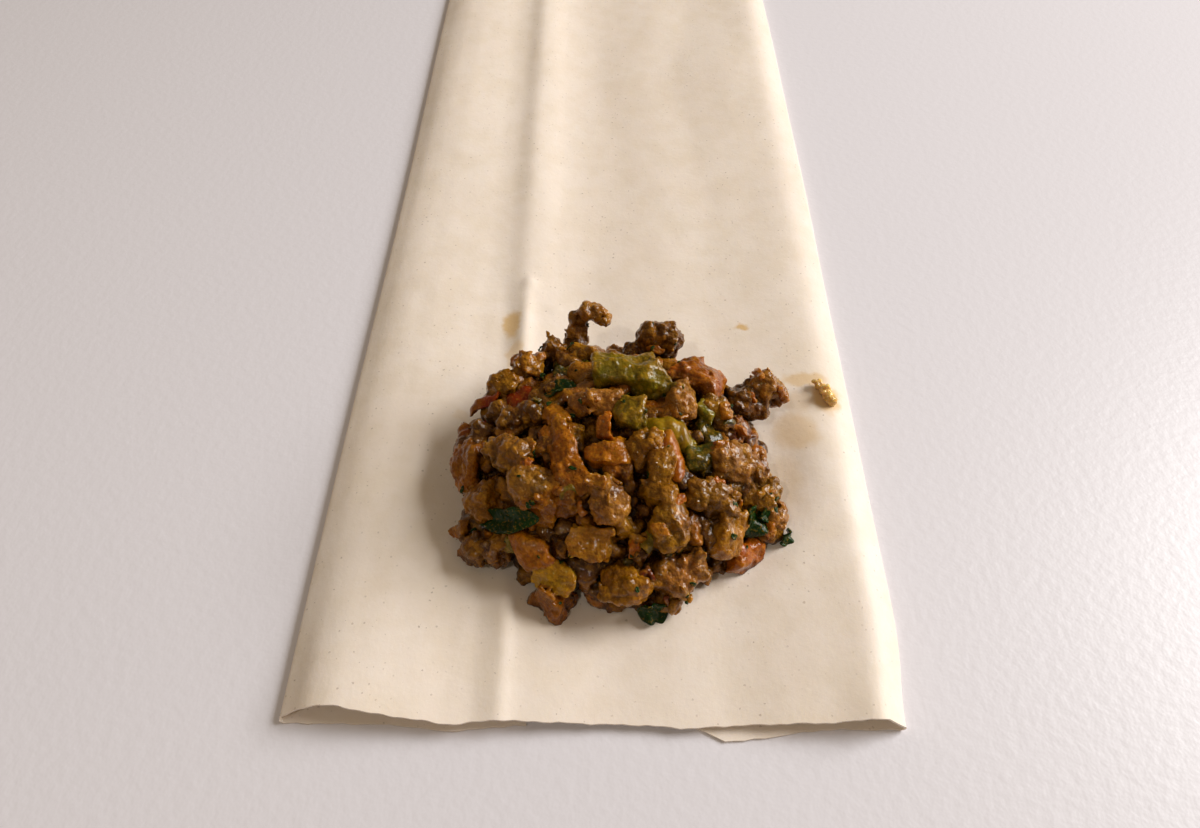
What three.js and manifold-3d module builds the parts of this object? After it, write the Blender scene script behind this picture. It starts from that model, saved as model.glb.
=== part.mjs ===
// An open briouat: a strip of thin raw pastry, its long sides folded under,
// with a heap of cooked mince and vegetables near one end, before it is folded up.
// Millimetres, +Z up. X runs across the strip, Y along it, and the heap lies near -Y.
import * as THREE from "three";
import { ConvexGeometry } from "three/addons/geometries/ConvexGeometry.js";
import { mergeVertices } from "three/addons/utils/BufferGeometryUtils.js";
import Module from "manifold-3d";

// ---- Driving dimensions: the pastry strip
const STRIP_WIDTH = 80;
const STRIP_LENGTH = 300;
const SHEET = 0.4; // thickness of one layer
const LAYER_GAP = 0.35; // air between the folded layers
const LIFT = 0.05; // how high the unfolded middle lies above the table
const FOLD_HEIGHT = 2.1; // the loose loop at each folded side
const FOLD_SPREAD = 4.5; // how far in from the side that loop dies away
const LEFT_FLAP_EDGE = -13; // X of the left flap's free edge near the heap
const RIGHT_FLAP_EDGE = 12;
const FLAP_SKEW = -0.013; // the left flap widens towards the near end, mm per mm
const STEP_RUN = 6; // run over which the top layer sinks from a flap to the table
const RIDGE_HEIGHT = 0.75; // crease above the left flap's edge
const RIDGE_WIDTH = 3.2;
const WAVE_HEIGHT = 0.5; // soft pillows in the top layer
const EDGE_BOW = 0.35; // how far the long sides wander

// ---- Driving dimensions: the heap of filling
const HEAP = { x: 2, y: -110.5, across: 25, along: 24, height: 16 };
const HEAP_ROUNDNESS = 2.6; // exponents of the heap's flat-topped dome
const HEAP_SHOULDER = 0.62;
const CORE_INSET = 3.6; // the core lies this far inside the heap's outline
const CORE_DROP = 2.4; // and this far under its top
const CORE_LUMPS = 1.6;
const CORE_SIDES = 18;
const CORE_RINGS = 6;
const SEAT_GAP = 0.3; // clearance between the filling and the sheet
const FILL_PIECES = 120; // places tried for the smaller pieces between the named ones
const FILL_SIZE = [3.6, 5.8];
const RIM_REACH = 0.93; // the outermost of them lie at this share of the heap's outline
const LARGE_CRUMB = 5.3; // crumbs longer than this get more sides
const BED_REACH = 0.72; // named pieces further out than this share of the heap get a crumb behind
const BED_SIZE = 5.5;
const BED_DEPTH = 3.2;
const SLIVER = 0.17; // the joined filling is simplified to within this of its true surface
const GRID = 0.01; // corners of the joined filling are rounded to this
const SEED = 7;

// ---- The pieces that show: kind, centre X Y Z, then length, width, thickness,
// and the turn of the length in the heap's surface (0 across the strip, 90 up the slope).
const PIECES = [
  // back
  ["mince", -2, -88.5, 14.5, 5.2, 4, 4, 10],
  ["mince", 0.3, -89.3, 13.3, 2.8, 2.6, 2.6, 80],
  ["mince", -3.6, -91, 12.5, 4.4, 3, 3.2, 80],
  ["mince", 0.8, -93, 12, 5, 3.8, 4, 110],
  ["onion", -2, -95.5, 12, 5.8, 4.6, 3.5, 20],
  ["mince", 9, -93, 13, 6.6, 6.4, 6, 30],
  ["mince", 5.2, -94.8, 11, 4.6, 3, 3, 40],
  ["mince", -8.8, -95.5, 9.5, 6.8, 4.4, 4.4, 15],
  ["mince", -7.2, -93.2, 11.3, 2.4, 1.7, 2, 70],
  ["mince", -6.6, -104, 13.5, 4, 3.2, 3.4, 0],
  ["leaf", -5.8, -105.6, 14.2, 4.6, 2, 0.6, 0],
  // left
  ["mince", -13.4, -100, 10, 8.2, 5.6, 5.4, 10],
  ["skin", -14, -104.6, 9.4, 9, 4, 1, 0],
  ["skin", -17.2, -103.8, 8.8, 5.4, 1.8, 1, -10],
  ["skin", -21, -108.6, 7.2, 4.6, 2.4, 1.2, 75],
  ["mince", -14.4, -109.8, 10, 15, 4, 4.2, 5],
  ["onion", -18.6, -114, 7.6, 11, 5.4, 2.6, 80],
  ["mince", -11.4, -117.6, 11.5, 9.4, 7.2, 4.6, -45],
  ["onion", -5.8, -123.4, 11.8, 7.2, 6.6, 3.8, 30],
  ["onion", -16.2, -119.8, 7.6, 6.8, 4.8, 3.6, 20],
  ["leaf", -12.8, -123.6, 8.2, 8.4, 3.4, 0.8, 0],
  ["mince", -15.6, -125.2, 4.2, 6.4, 5, 5, 10],
  ["onion", -19.2, -122.6, 4.6, 4, 2.4, 2.4, 0],
  ["mince", -12.4, -126.2, 6, 3.6, 3.4, 3.4, 0],
  // front
  ["onion", -7.2, -129.8, 5.8, 9, 6, 1.6, -35],
  ["onion", -6, -132, 3, 6, 5, 4.4, 70],
  ["pepper", -0.4, -127.4, 9.2, 7.2, 5.6, 2, -10],
  ["mince", 0.9, -123.4, 12.8, 7, 4.4, 4, 100],
  ["mince", -7.2, -126.4, 7.6, 6, 4.6, 4.2, 0],
  ["mince", 3.7, -126, 10, 3.6, 3.4, 3.4, 0],
  ["mince", 5.3, -130.4, 5.6, 7.8, 6, 5.4, 0],
  ["mince", 10.8, -128.4, 5, 5.8, 5.8, 6, 60],
  ["mince", 9, -131.8, 2.8, 4.6, 3.6, 3.2, 0],
  ["leaf", 7.2, -133.6, 2, 3.8, 2.8, 0.7, 0],
  ["mince", 6.6, -126.6, 8, 6, 4.6, 4.4, 20],
  // right
  ["pepper", 20, -125.2, 2.4, 6.4, 4.6, 2.4, -10],
  ["onion", 16.6, -125.2, 7.4, 6.6, 6, 3, 80],
  ["leaf", 21, -121.8, 6, 4.4, 3.6, 0.8, 60],
  ["leaf", 23.6, -120, 6, 4.4, 2.4, 0.7, 20],
  ["mince", 24.4, -120.6, 3.8, 4.8, 4.6, 4.6, 60],
  ["leaf", 26, -122.4, 2.6, 2.4, 1.8, 0.6, 30],
  ["mince", 19, -115.6, 10.2, 10, 5.4, 5.2, 10],
  ["mince", 22.4, -117.8, 7.2, 6.4, 5.6, 5, 60],
  ["pepper", 14.3, -116, 12.4, 6.6, 4.4, 2.6, 10],
  ["mince", 25.4, -99.6, 8, 6, 4.6, 4.6, 70],
  ["mince", 21.2, -101.8, 7.4, 6, 5.6, 5.4, 0],
  ["mince", 15.8, -108.4, 12.6, 5, 4.8, 4.6, 0],
  ["pepper", 15, -101.4, 12, 7.8, 7.2, 4.4, -25],
  ["pepper", 15, -111.4, 11.6, 5, 5, 3.4, 20],
  ["mince", 19.2, -108.4, 8.8, 5.2, 4.4, 4.4, 0],
  // top
  ["pepper", 4.9, -103.2, 15.6, 12.6, 5, 3.4, 3],
  ["pepper", 3.7, -111, 16, 4.8, 4.2, 3.8, 90],
  ["mince", -1, -108.4, 15.4, 6.4, 3.6, 3.6, 0],
  ["pepper", 0.7, -113.2, 15.6, 4.6, 2.5, 2.4, 95],
  ["mince", 10.7, -108, 14.4, 6.8, 5.4, 4.8, -45],
  ["skin", 9.6, -113.2, 15.4, 7, 3.4, 1, -20],
  ["mince", 5.9, -116.4, 15, 5.6, 4.6, 4, 110],
  ["onion", 0.8, -117.4, 14.8, 5.4, 3.6, 3, 10],
  ["onion", -4.9, -117, 13.6, 12, 4.6, 3, 105],
  ["pepper", 8.1, -119, 14.4, 6.4, 4.6, 3, 80],
  ["skin", 10.3, -117.2, 14.8, 7, 2.4, 1.2, 100],
  ["mince", 8.3, -124, 12.4, 8.6, 7.2, 5.2, 100],
  ["mince", 14.5, -121.8, 10.8, 6.2, 5.4, 4.6, 0],
];

// ---- Small helpers
const TABLE_LAYER = SHEET / 2 + LIFT; // middle height of a layer that lies on the table
const UPPER_LAYER = 1.5 * SHEET + LAYER_GAP; // middle height of a layer on a flap

// Rises smoothly from 0 at the first value to 1 at the second, whichever is larger.
function smooth(from, to, value) {
  const share = THREE.MathUtils.clamp((value - from) / (to - from), 0, 1);
  return share * share * (3 - 2 * share);
}

function bump(value, centre, width) {
  return Math.exp(-(((value - centre) / width) ** 2));
}

// The same run of numbers from 0 to 1 every time.
function seededRandom(seed) {
  let state = seed;
  return () => {
    state = (state * 16807) % 2147483647;
    return state / 2147483647;
  };
}

function steps(from, to, count) {
  return Array.from({ length: count }, (_, i) => from + ((to - from) * i) / (count - 1));
}

// ---- The sheet as a surface: its heights are functions of the place on the strip
function leftFlapEdge(y) {
  const flare = 3.5 * bump(y, -STRIP_LENGTH / 2, 8);
  return LEFT_FLAP_EDGE + FLAP_SKEW * (y - HEAP.y) + flare;
}

function ridgeLine(y) {
  return LEFT_FLAP_EDGE + FLAP_SKEW * (y - HEAP.y) - 0.4;
}

// How far each long side lies from the centre line.
function halfWidth(y, side) {
  const wander = side < 0 ? Math.sin(y / 23 + 0.4) : Math.sin(y / 27 + 2.6) + 0.3 * Math.sin(y / 9);
  const nearCorner = side < 0 ? 0 : 1.6 * bump(y, -STRIP_LENGTH / 2, 9);
  return STRIP_WIDTH / 2 - EDGE_BOW * (1 - wander) * 0.5 - nearCorner;
}

// 1 where the heap presses the sheet flat, 0 away from it.
function pressed(x, y) {
  return 1 - smooth(0.85, 1.25, heapReach(x, y));
}

function pillows(x, y) {
  const wide = Math.sin(x / 9 + 0.8 * Math.sin(y / 31)) * Math.sin(y / 19 + 1.1);
  const fine = 0.4 * Math.sin(x / 5 + y / 12) * Math.sin(y / 8.5 - x / 17);
  return 0.5 + 0.5 * THREE.MathUtils.clamp(wide + fine, -1, 1);
}

// Where the two layers gape at the near and far cut edges.
function gapes(x, y) {
  const near = -STRIP_LENGTH / 2;
  return (
    1.5 * bump(x, -33.5, 6.5) * bump(y, near, 11) +
    1.1 * bump(x, 34.5, 3.5) * bump(y, near, 6) +
    0.5 * bump(x, -6, 7) * bump(y, near, 9) +
    0.9 * bump(x, 29, 8) * bump(y, -near, 12) +
    0.7 * bump(x, -27, 6) * bump(y, -near, 8)
  );
}

// Middle height of the top layer.
function topLayer(x, y) {
  const onLeft = 1 - smooth(leftFlapEdge(y), leftFlapEdge(y) + STEP_RUN, x);
  const onRight = smooth(RIGHT_FLAP_EDGE - STEP_RUN, RIGHT_FLAP_EDGE, x);
  const base = TABLE_LAYER + (UPPER_LAYER - TABLE_LAYER) * Math.max(onLeft, onRight);
  const free = 1 - pressed(x, y);
  const ridge = RIDGE_HEIGHT * bump(x, ridgeLine(y), RIDGE_WIDTH);
  const valley = smooth(8, 3, Math.abs(x - ridgeLine(y) + 7));
  const wave = WAVE_HEIGHT * pillows(x, y) * (1 - valley);
  const foldRise = FOLD_HEIGHT - SHEET / 2 - base;
  const folds =
    bump(x, -halfWidth(y, -1) + FOLD_HEIGHT / 2, FOLD_SPREAD) +
    bump(x, halfWidth(y, 1) - FOLD_HEIGHT / 2, FOLD_SPREAD);
  const loose = (ridge + wave + gapes(x, y)) * (1 - folds) * free;
  return base + loose + foldRise * folds;
}

// Upper surface of the sheet, on which the heap lies.
function sheetTop(x, y) {
  return topLayer(x, y) + SHEET / 2;
}

// ---- The two cut edges, one line for the top layer and one for the flaps
function nearCut(x, layer) {
  if (layer === "top") {
    return (
      -148.5 + 1.2 * bump(x, -34.5, 6) - 0.5 * bump(x, -18.5, 3.5) - 0.4 * bump(x, 11, 4) +
      0.25 * bump(x, 34, 3)
    );
  }
  return x < 0 ? -148.4 - 0.8 * bump(x, -18.5, 5) : -148.5 - 1.5 * smooth(28, 11, x);
}

function farCut(x, layer) {
  const slack = layer === "top" ? -0.7 * bump(x, 29, 8) - 0.5 * bump(x, -27, 7) : 0;
  return STRIP_LENGTH / 2 - 0.4 + 0.4 * Math.sin(x / 11 + 1) + slack;
}

// One cross-section of the folded sheet: its middle line from the left flap's free edge,
// round the left fold, over the top, round the right fold and back to the right flap's edge.
const FLAP_COLUMNS = 4;
const FOLD_COLUMNS = 6;

function section(along) {
  const y = THREE.MathUtils.lerp(-STRIP_LENGTH / 2, STRIP_LENGTH / 2, along);
  const line = [];
  const put = (x, z, layer) => {
    line.push(new THREE.Vector3(x, THREE.MathUtils.lerp(nearCut(x, layer), farCut(x, layer), along), z));
  };
  const radius = (FOLD_HEIGHT - SHEET) / 2;
  const fold = (side) => side * (halfWidth(y, side) - SHEET / 2 - radius);
  steps(leftFlapEdge(y), fold(-1), FLAP_COLUMNS).forEach((x) => put(x, SHEET / 2, "flap"));
  for (const angle of steps(-Math.PI / 2, -1.5 * Math.PI, FOLD_COLUMNS).slice(1, -1)) {
    const layer = Math.sin(angle) > 0 ? "top" : "flap";
    put(fold(-1) + radius * Math.cos(angle), SHEET / 2 + radius * (1 + Math.sin(angle)), layer);
  }
  const ridge = ridgeLine(y);
  const columns = [
    ...steps(fold(-1), ridge - 6, 7),
    ...steps(ridge - 3.5, ridge + 5, 6),
    ...steps(ridge + 9, RIGHT_FLAP_EDGE + 1, 5),
    ...steps(RIGHT_FLAP_EDGE + 5, fold(1), 7),
  ];
  columns.forEach((x) => put(x, topLayer(x, y), "top"));
  for (const angle of steps(Math.PI / 2, -Math.PI / 2, FOLD_COLUMNS).slice(1, -1)) {
    const layer = Math.sin(angle) > 0 ? "top" : "flap";
    put(fold(1) + radius * Math.cos(angle), SHEET / 2 + radius * (1 + Math.sin(angle)), layer);
  }
  steps(fold(1), RIGHT_FLAP_EDGE, FLAP_COLUMNS).forEach((x) => put(x, SHEET / 2, "flap"));
  return line;
}

// A thin solid round a grid of middle points: both faces are split into triangles alike.
function thickened(grid, thickness) {
  const rows = grid.length;
  const columns = grid[0].length;
  const positions = [];
  const index = [];
  const offset = new THREE.Vector3();
  for (const side of [1, -1]) {
    for (let r = 0; r < rows; r++) {
      for (let c = 0; c < columns; c++) {
        const across = grid[r][Math.min(c + 1, columns - 1)].clone().sub(grid[r][Math.max(c - 1, 0)]);
        offset.set(-across.z, 0, across.x).normalize().multiplyScalar((side * thickness) / 2);
        const point = grid[r][c].clone().add(offset);
        positions.push(point.x, point.y, point.z);
      }
    }
  }
  const at = (side, r, c) => side * rows * columns + r * columns + c;
  const quad = (a, b, c, d) => index.push(a, b, c, a, c, d);
  for (let r = 0; r + 1 < rows; r++) {
    for (let c = 0; c + 1 < columns; c++) {
      quad(at(0, r, c), at(0, r, c + 1), at(0, r + 1, c + 1), at(0, r + 1, c));
      index.push(at(1, r, c), at(1, r + 1, c + 1), at(1, r, c + 1));
      index.push(at(1, r, c), at(1, r + 1, c), at(1, r + 1, c + 1));
    }
  }
  for (let r = 0; r + 1 < rows; r++) {
    quad(at(0, r + 1, 0), at(1, r + 1, 0), at(1, r, 0), at(0, r, 0));
    const last = columns - 1;
    quad(at(0, r, last), at(1, r, last), at(1, r + 1, last), at(0, r + 1, last));
  }
  for (let c = 0; c + 1 < columns; c++) {
    quad(at(0, 0, c), at(1, 0, c), at(1, 0, c + 1), at(0, 0, c + 1));
    const last = rows - 1;
    quad(at(0, last, c + 1), at(1, last, c + 1), at(1, last, c), at(0, last, c));
  }
  const geometry = new THREE.BufferGeometry();
  geometry.setAttribute("position", new THREE.Float32BufferAttribute(positions, 3));
  geometry.setIndex(index);
  return geometry;
}

// Rows lie closest at the near cut edge and round the heap.
const NEAR_ROWS = 16;
const FAR_ROWS = 8;

function pastryStrip() {
  const nearShare = 0.3;
  const near = steps(0, 1, NEAR_ROWS).map((s) => nearShare * s ** 1.25);
  const far = steps(nearShare, 1, FAR_ROWS).slice(1);
  return thickened([...near, ...far].map(section), SHEET);
}

// ---- Shapes of the filling's pieces, each about the origin with its length along X
function crumb(length, width, thickness, random, ball) {
  const geometry = ball.clone();
  const position = geometry.getAttribute("position");
  const point = new THREE.Vector3();
  for (let i = 0; i < position.count; i++) {
    point.fromBufferAttribute(position, i).multiplyScalar(0.82 + 0.42 * random());
    position.setXYZ(i, (point.x * length) / 2, (point.y * width) / 2, (point.z * thickness) / 2);
  }
  return geometry;
}

// A diced piece: a block with its edges taken off and its faces a little out of true.
function dice(length, width, thickness, random) {
  const half = [length / 2, width / 2, thickness / 2];
  const chamfer = 0.16 * Math.min(length, width, 1.6 * thickness);
  const taper = 0.25 * (random() - 0.5);
  const corners = [];
  for (const sx of [-1, 1]) {
    for (const sy of [-1, 1]) {
      for (const sz of [-1, 1]) {
        for (const kept of [0, 1, 2]) {
          const size = half.map((h, axis) => (axis === kept ? h : h - chamfer));
          const narrow = 1 + taper * sx;
          const loose = 1 - 0.1 * random();
          corners.push(
            new THREE.Vector3(sx * size[0] * loose, sy * size[1] * narrow, sz * size[2] * loose),
          );
        }
      }
    }
  }
  return new ConvexGeometry(corners);
}

// A leaf or a strip of skin: a thin wavy solid, pointed at both ends.
function leaf(length, width, thickness, random) {
  const phase = 2 * Math.PI * random();
  const grid = steps(-1, 1, 3).map((across) =>
    steps(-1, 1, 5).map((along) => {
      const outline = 0.25 + 0.75 * Math.sqrt(Math.max(0, 1 - along * along));
      const wave = 0.12 * length * Math.sin(2.6 * along + phase) + 0.1 * width * across * across;
      return new THREE.Vector3((along * length) / 2, (across * outline * width) / 2, wave);
    }),
  );
  return thickened(grid, thickness);
}

// ---- The heap
function heapReach(x, y) {
  return Math.hypot((x - HEAP.x) / HEAP.across, (y - HEAP.y) / HEAP.along);
}

function heapHeight(reach) {
  return reach < 1 ? HEAP.height * (1 - reach ** HEAP_ROUNDNESS) ** HEAP_SHOULDER : 0;
}

// The heap's outward normal, with its steep rim eased.
function heapNormal(x, y) {
  const reach = Math.min(heapReach(x, y), 0.97);
  const fall = HEAP_ROUNDNESS * HEAP_SHOULDER * reach ** (HEAP_ROUNDNESS - 2);
  const steepness = HEAP.height * fall * (1 - reach ** HEAP_ROUNDNESS) ** (HEAP_SHOULDER - 1);
  return new THREE.Vector3(
    (steepness * (x - HEAP.x)) / HEAP.across ** 2,
    (steepness * (y - HEAP.y)) / HEAP.along ** 2,
    1,
  ).normalize();
}

// Lays a piece in the heap's surface, its length turned from the strip's X direction.
function placed(geometry, x, y, z, turn) {
  const normal = heapNormal(x, y);
  const across = new THREE.Vector3(1, 0, 0).addScaledVector(normal, -normal.x).normalize();
  const up = new THREE.Vector3().crossVectors(normal, across);
  const basis = new THREE.Matrix4().makeBasis(across, up, normal);
  const spin = new THREE.Matrix4().makeRotationZ(THREE.MathUtils.degToRad(turn));
  return geometry.applyMatrix4(basis.multiply(spin)).translate(x, y, z);
}

// A lumpy dome, smaller than the heap.
function core(random) {
  const rings = steps(0, Math.PI / 2, CORE_RINGS).map(
    (angle) =>
      new THREE.Vector2(
        Math.max(0, Math.cos(angle)) ** (2 / HEAP_ROUNDNESS),
        Math.sin(angle) ** (2 * HEAP_SHOULDER),
      ),
  );
  const profile = [new THREE.Vector2(0, -0.4), new THREE.Vector2(1, -0.4), ...rings];
  profile[profile.length - 1].x = 0;
  const dome = bare(new THREE.LatheGeometry(profile, CORE_SIDES))
    .rotateX(Math.PI / 2)
    .scale(HEAP.across - CORE_INSET, HEAP.along - CORE_INSET, HEAP.height - CORE_DROP);
  const position = dome.getAttribute("position");
  for (let i = 0; i < position.count; i++) {
    const swell = 1 + (CORE_LUMPS * (random() - 0.5)) / HEAP.height;
    position.setXYZ(i, position.getX(i) * swell, position.getY(i) * swell, position.getZ(i) * swell);
  }
  return dome.translate(HEAP.x, HEAP.y, 1);
}

// The smaller pieces between the named ones: even places on a spiral, and one is left out
// where a named piece already lies.
function fillPieces(random) {
  const goldenAngle = Math.PI * (3 - Math.sqrt(5));
  const pieces = [];
  for (let i = 0; i < FILL_PIECES; i++) {
    const reach = RIM_REACH * Math.sqrt((i + 0.5) / FILL_PIECES);
    const angle = i * goldenAngle;
    const size = THREE.MathUtils.lerp(...FILL_SIZE, random());
    const turn = 180 * random();
    const chance = random();
    const x = HEAP.x + (HEAP.across - size / 2) * reach * Math.cos(angle);
    const y = HEAP.y + (HEAP.along - size / 2) * reach * Math.sin(angle);
    const z = Math.max(0.4 * size + 0.6, 1 + heapHeight(reach) - 0.45 * size);
    const kind = chance < 0.7 ? "mince" : chance < 0.9 ? "onion" : "pepper";
    const covered = PIECES.some(
      ([, px, py, pz, length, width]) =>
        Math.hypot(px - x, py - y, pz - z) < 0.24 * (length + width) + 0.2 * size,
    );
    if (!covered) pieces.push([kind, x, y, z, size, 0.8 * size, 0.7 * size, turn]);
  }
  return pieces;
}

// What the outermost named pieces lie on: a crumb behind each, nearer the heap's middle.
function beds() {
  const middle = new THREE.Vector3(HEAP.x, HEAP.y, HEAP.height / 3);
  return PIECES.filter(([, x, y]) => heapReach(x, y) > BED_REACH).map(([, x, y, z]) => {
    const place = new THREE.Vector3(x, y, z);
    place.addScaledVector(middle.clone().sub(place).normalize(), BED_DEPTH);
    return ["mince", ...place.toArray(), BED_SIZE, 0.8 * BED_SIZE, 0.8 * BED_SIZE, 90 - x];
  });
}

// The block under the filling: everything below the sheet's upper surface and its clearance.
function groundBlock() {
  const reach = 32;
  const depth = 12;
  const cells = 8;
  const geometry = new THREE.BoxGeometry(2 * reach, 2 * reach, depth, cells, cells, 1);
  geometry.translate(HEAP.x, HEAP.y, -depth / 2);
  const position = geometry.getAttribute("position");
  for (let i = 0; i < position.count; i++) {
    if (position.getZ(i) > -depth / 2) {
      position.setZ(i, sheetTop(position.getX(i), position.getY(i)) + SEAT_GAP);
    }
  }
  return geometry;
}

// ---- Joining
const wasm = await Module();
wasm.setup();

function bare(geometry) {
  const copy = geometry.clone();
  copy.deleteAttribute("normal");
  copy.deleteAttribute("uv");
  return mergeVertices(copy, 1e-3);
}

function solid(geometry) {
  const merged = bare(geometry);
  return new wasm.Manifold(
    new wasm.Mesh({
      numProp: 3,
      vertProperties: new Float32Array(merged.getAttribute("position").array),
      triVerts: new Uint32Array(merged.index.array),
    }),
  );
}

// A body's surface, its corners rounded to a fine grid so that no two nearly coincide.
function geometryOf(body) {
  const mesh = body.getMesh();
  const corners = mesh.vertProperties.map((value) => Math.round(value / GRID) * GRID);
  const geometry = new THREE.BufferGeometry();
  geometry.setAttribute("position", new THREE.BufferAttribute(corners, mesh.numProp));
  geometry.setIndex(new THREE.BufferAttribute(mesh.triVerts, 1));
  geometry.computeVertexNormals();
  return geometry;
}

// The largest closed body: this fills sealed hollows and drops loose scraps.
function largest(body) {
  return body.decompose().reduce((a, b) => (b.volume() > a.volume() ? b : a));
}

function filling() {
  const random = seededRandom(SEED);
  const largeBall = bare(new THREE.SphereGeometry(1, 8, 5));
  const smallBall = bare(new THREE.SphereGeometry(1, 6, 4));
  const shapes = {
    mince: crumb,
    onion: dice,
    pepper: dice,
    leaf,
    skin: leaf,
  };
  const make = ([kind, x, y, z, length, width, thickness, turn]) => {
    const ball = length > LARGE_CRUMB ? largeBall : smallBall;
    const geometry = shapes[kind](length, width, thickness, random, ball);
    return solid(placed(geometry, x, y, z, turn));
  };
  const pieces = [...PIECES, ...fillPieces(random), ...beds()];
  const parts = [solid(core(random)), ...pieces.map(make)];
  const joined = parts.reduce((sum, part) => sum.add(part));
  const seated = joined.subtract(solid(groundBlock())).asOriginal().simplify(SLIVER);
  return geometryOf(largest(solid(geometryOf(largest(seated)))));
}

// ---- The object
function named(name, geometry, color, roughness) {
  geometry.computeVertexNormals();
  const material = new THREE.MeshStandardMaterial({ color, roughness, metalness: 0 });
  const mesh = new THREE.Mesh(geometry, material);
  mesh.name = name;
  return mesh;
}

const briouat = new THREE.Group();
briouat.add(named("pastry_strip", pastryStrip(), 0xe6d6bd, 0.7));
briouat.add(named("filling", filling(), 0x8a5a22, 0.35));

// The origin is the bottom centre of the whole.
const middle = new THREE.Box3().setFromObject(briouat, true).getCenter(new THREE.Vector3());
briouat.position.set(-middle.x, -middle.y, 0);

export default briouat;
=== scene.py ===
import math

import bpy
import numpy as np
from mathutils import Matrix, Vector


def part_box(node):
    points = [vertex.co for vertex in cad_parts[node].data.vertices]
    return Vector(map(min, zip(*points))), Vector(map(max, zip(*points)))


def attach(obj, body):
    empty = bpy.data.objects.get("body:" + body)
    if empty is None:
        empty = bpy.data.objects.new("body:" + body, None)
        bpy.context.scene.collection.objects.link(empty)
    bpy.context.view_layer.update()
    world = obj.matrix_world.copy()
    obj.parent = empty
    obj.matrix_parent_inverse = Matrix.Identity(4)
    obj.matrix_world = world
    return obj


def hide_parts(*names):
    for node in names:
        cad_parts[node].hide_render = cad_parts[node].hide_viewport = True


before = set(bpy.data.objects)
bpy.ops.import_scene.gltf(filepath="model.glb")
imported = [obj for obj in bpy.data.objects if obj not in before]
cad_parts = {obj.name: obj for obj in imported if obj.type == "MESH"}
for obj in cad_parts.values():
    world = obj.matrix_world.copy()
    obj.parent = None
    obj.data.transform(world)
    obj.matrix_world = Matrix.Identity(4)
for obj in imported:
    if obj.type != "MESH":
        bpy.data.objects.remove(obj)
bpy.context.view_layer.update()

import openvdb
from mathutils import Vector

MM = 0.001

# ---- The pastry strip
STRIP_WIDTH = 80
STRIP_LENGTH = 300
LAYER = 0.4  # room that one layer takes
SHEET = 0.3  # thickness of the dough itself
LAYER_GAP = 0.35  # air between the folded layers
LIFT = 0.05  # how high the unfolded middle lies above the floor
TABLE_LAYER = LAYER / 2 + LIFT  # middle height of a layer on the floor
UPPER_LAYER = 1.5 * LAYER + LAYER_GAP  # middle height of a layer on a flap
UPPER_FLAT = 1.2  # the height from which the slow waves rise and sink
NEAR_END = -STRIP_LENGTH / 2
FAR_END = STRIP_LENGTH / 2
FOLD_HEIGHT = 1.4
FOLD_RADIUS = (FOLD_HEIGHT - LAYER) / 2
LEFT_FLAP_EDGE = -13
RIGHT_FLAP_EDGE = 12
FLAP_SKEW = -0.013  # the left flap widens towards the near end, mm per mm
STEP_RUN = 6  # run over which the top layer sinks from a flap to the floor
EDGE_BOW = 0.35  # how far the long sides wander
# Height of the free top layer's middle across the strip: a hump over the left flap, a valley
# and a ridge at its free edge, a single layer, and a hump over the right flap.
ACROSS = [
    (-39.6, 1.1), (-36.6, 2.3), (-33.5, 2.8), (-29.5, 2.85), (-25, 2.45), (-20.5, 1.95),
    (-17.5, 2.0), (-14.2, 2.75), (-11.6, 2.3), (-8, 1.2), (-4.5, 0.62), (-1, 0.42),
    (2, 0.52), (6, 0.8), (10, 1.0), (14, 1.08), (18, 1.18), (24, 1.8),
    (29, 2.3), (33, 2.65), (35.5, 2.7), (37.5, 2.1), (39.5, 1.2),
]
SOFTNESS = 0.9  # how far the corners between those heights are rounded
RIDGE_X = -14.2  # where the ridge is among them
WANDER = 3  # how far the soft folds right of the ridge wander across the strip
NEAR_FOLD_RISE = 0.35  # how much higher the right fold is beside the heap
CREASE_START = -66  # Y where the sharp crease on the ridge begins
CREASE_HEIGHT = 0.34
CREASE_WIDTH = 1.0
COCKLE = 0.05  # height of the dough's fine unevenness
# Small rises in the top layer: X, Y, reach along X and Y, height.
PUCKERS = [(-13, -71, 1.2, 0.9, 0.45), (-8.3, -77, 1.7, 0.6, 0.3)]
# Places where the cut ends gape, listed in the same way.
GAPES = [
    (-33.5, NEAR_END, 6.5, 11, 0.7),
    (34.5, NEAR_END, 3.5, 6, 0.5),
    (-6, NEAR_END, 7, 9, 0.5),
    (29, FAR_END, 8, 12, 0.9),
    (-27, FAR_END, 6, 8, 0.7),
]
NEAR_CUT = -148.5  # Y of the near cut edge
# Waves in the cut edges of the top layer: X, reach, and how far they move the edge along Y.
NEAR_WAVES = [(-34.5, 6, 1.2), (-18.5, 3.5, -0.5), (11, 4, -0.4), (34, 3, 0.25)]
FAR_WAVES = [(29, 8, -0.7), (-27, 7, -0.5)]
LEFT_LEAN = 0.42  # slopes of the top layer where it leaves the folds, in radians
RIGHT_LEAN = 0.34
FLAP_COLUMNS = 22
FOLD_COLUMNS = 12
TOP_COLUMNS = (30, 26, 16, 26)  # left of the ridge, over it, middle, right
NEAR_ROWS = 130
FAR_ROWS = 66
NEAR_SHARE = 0.45  # share of the strip's length that has the closer rows
SHARP_ANGLE = math.radians(50)  # edges bent further than this stay sharp

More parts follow.
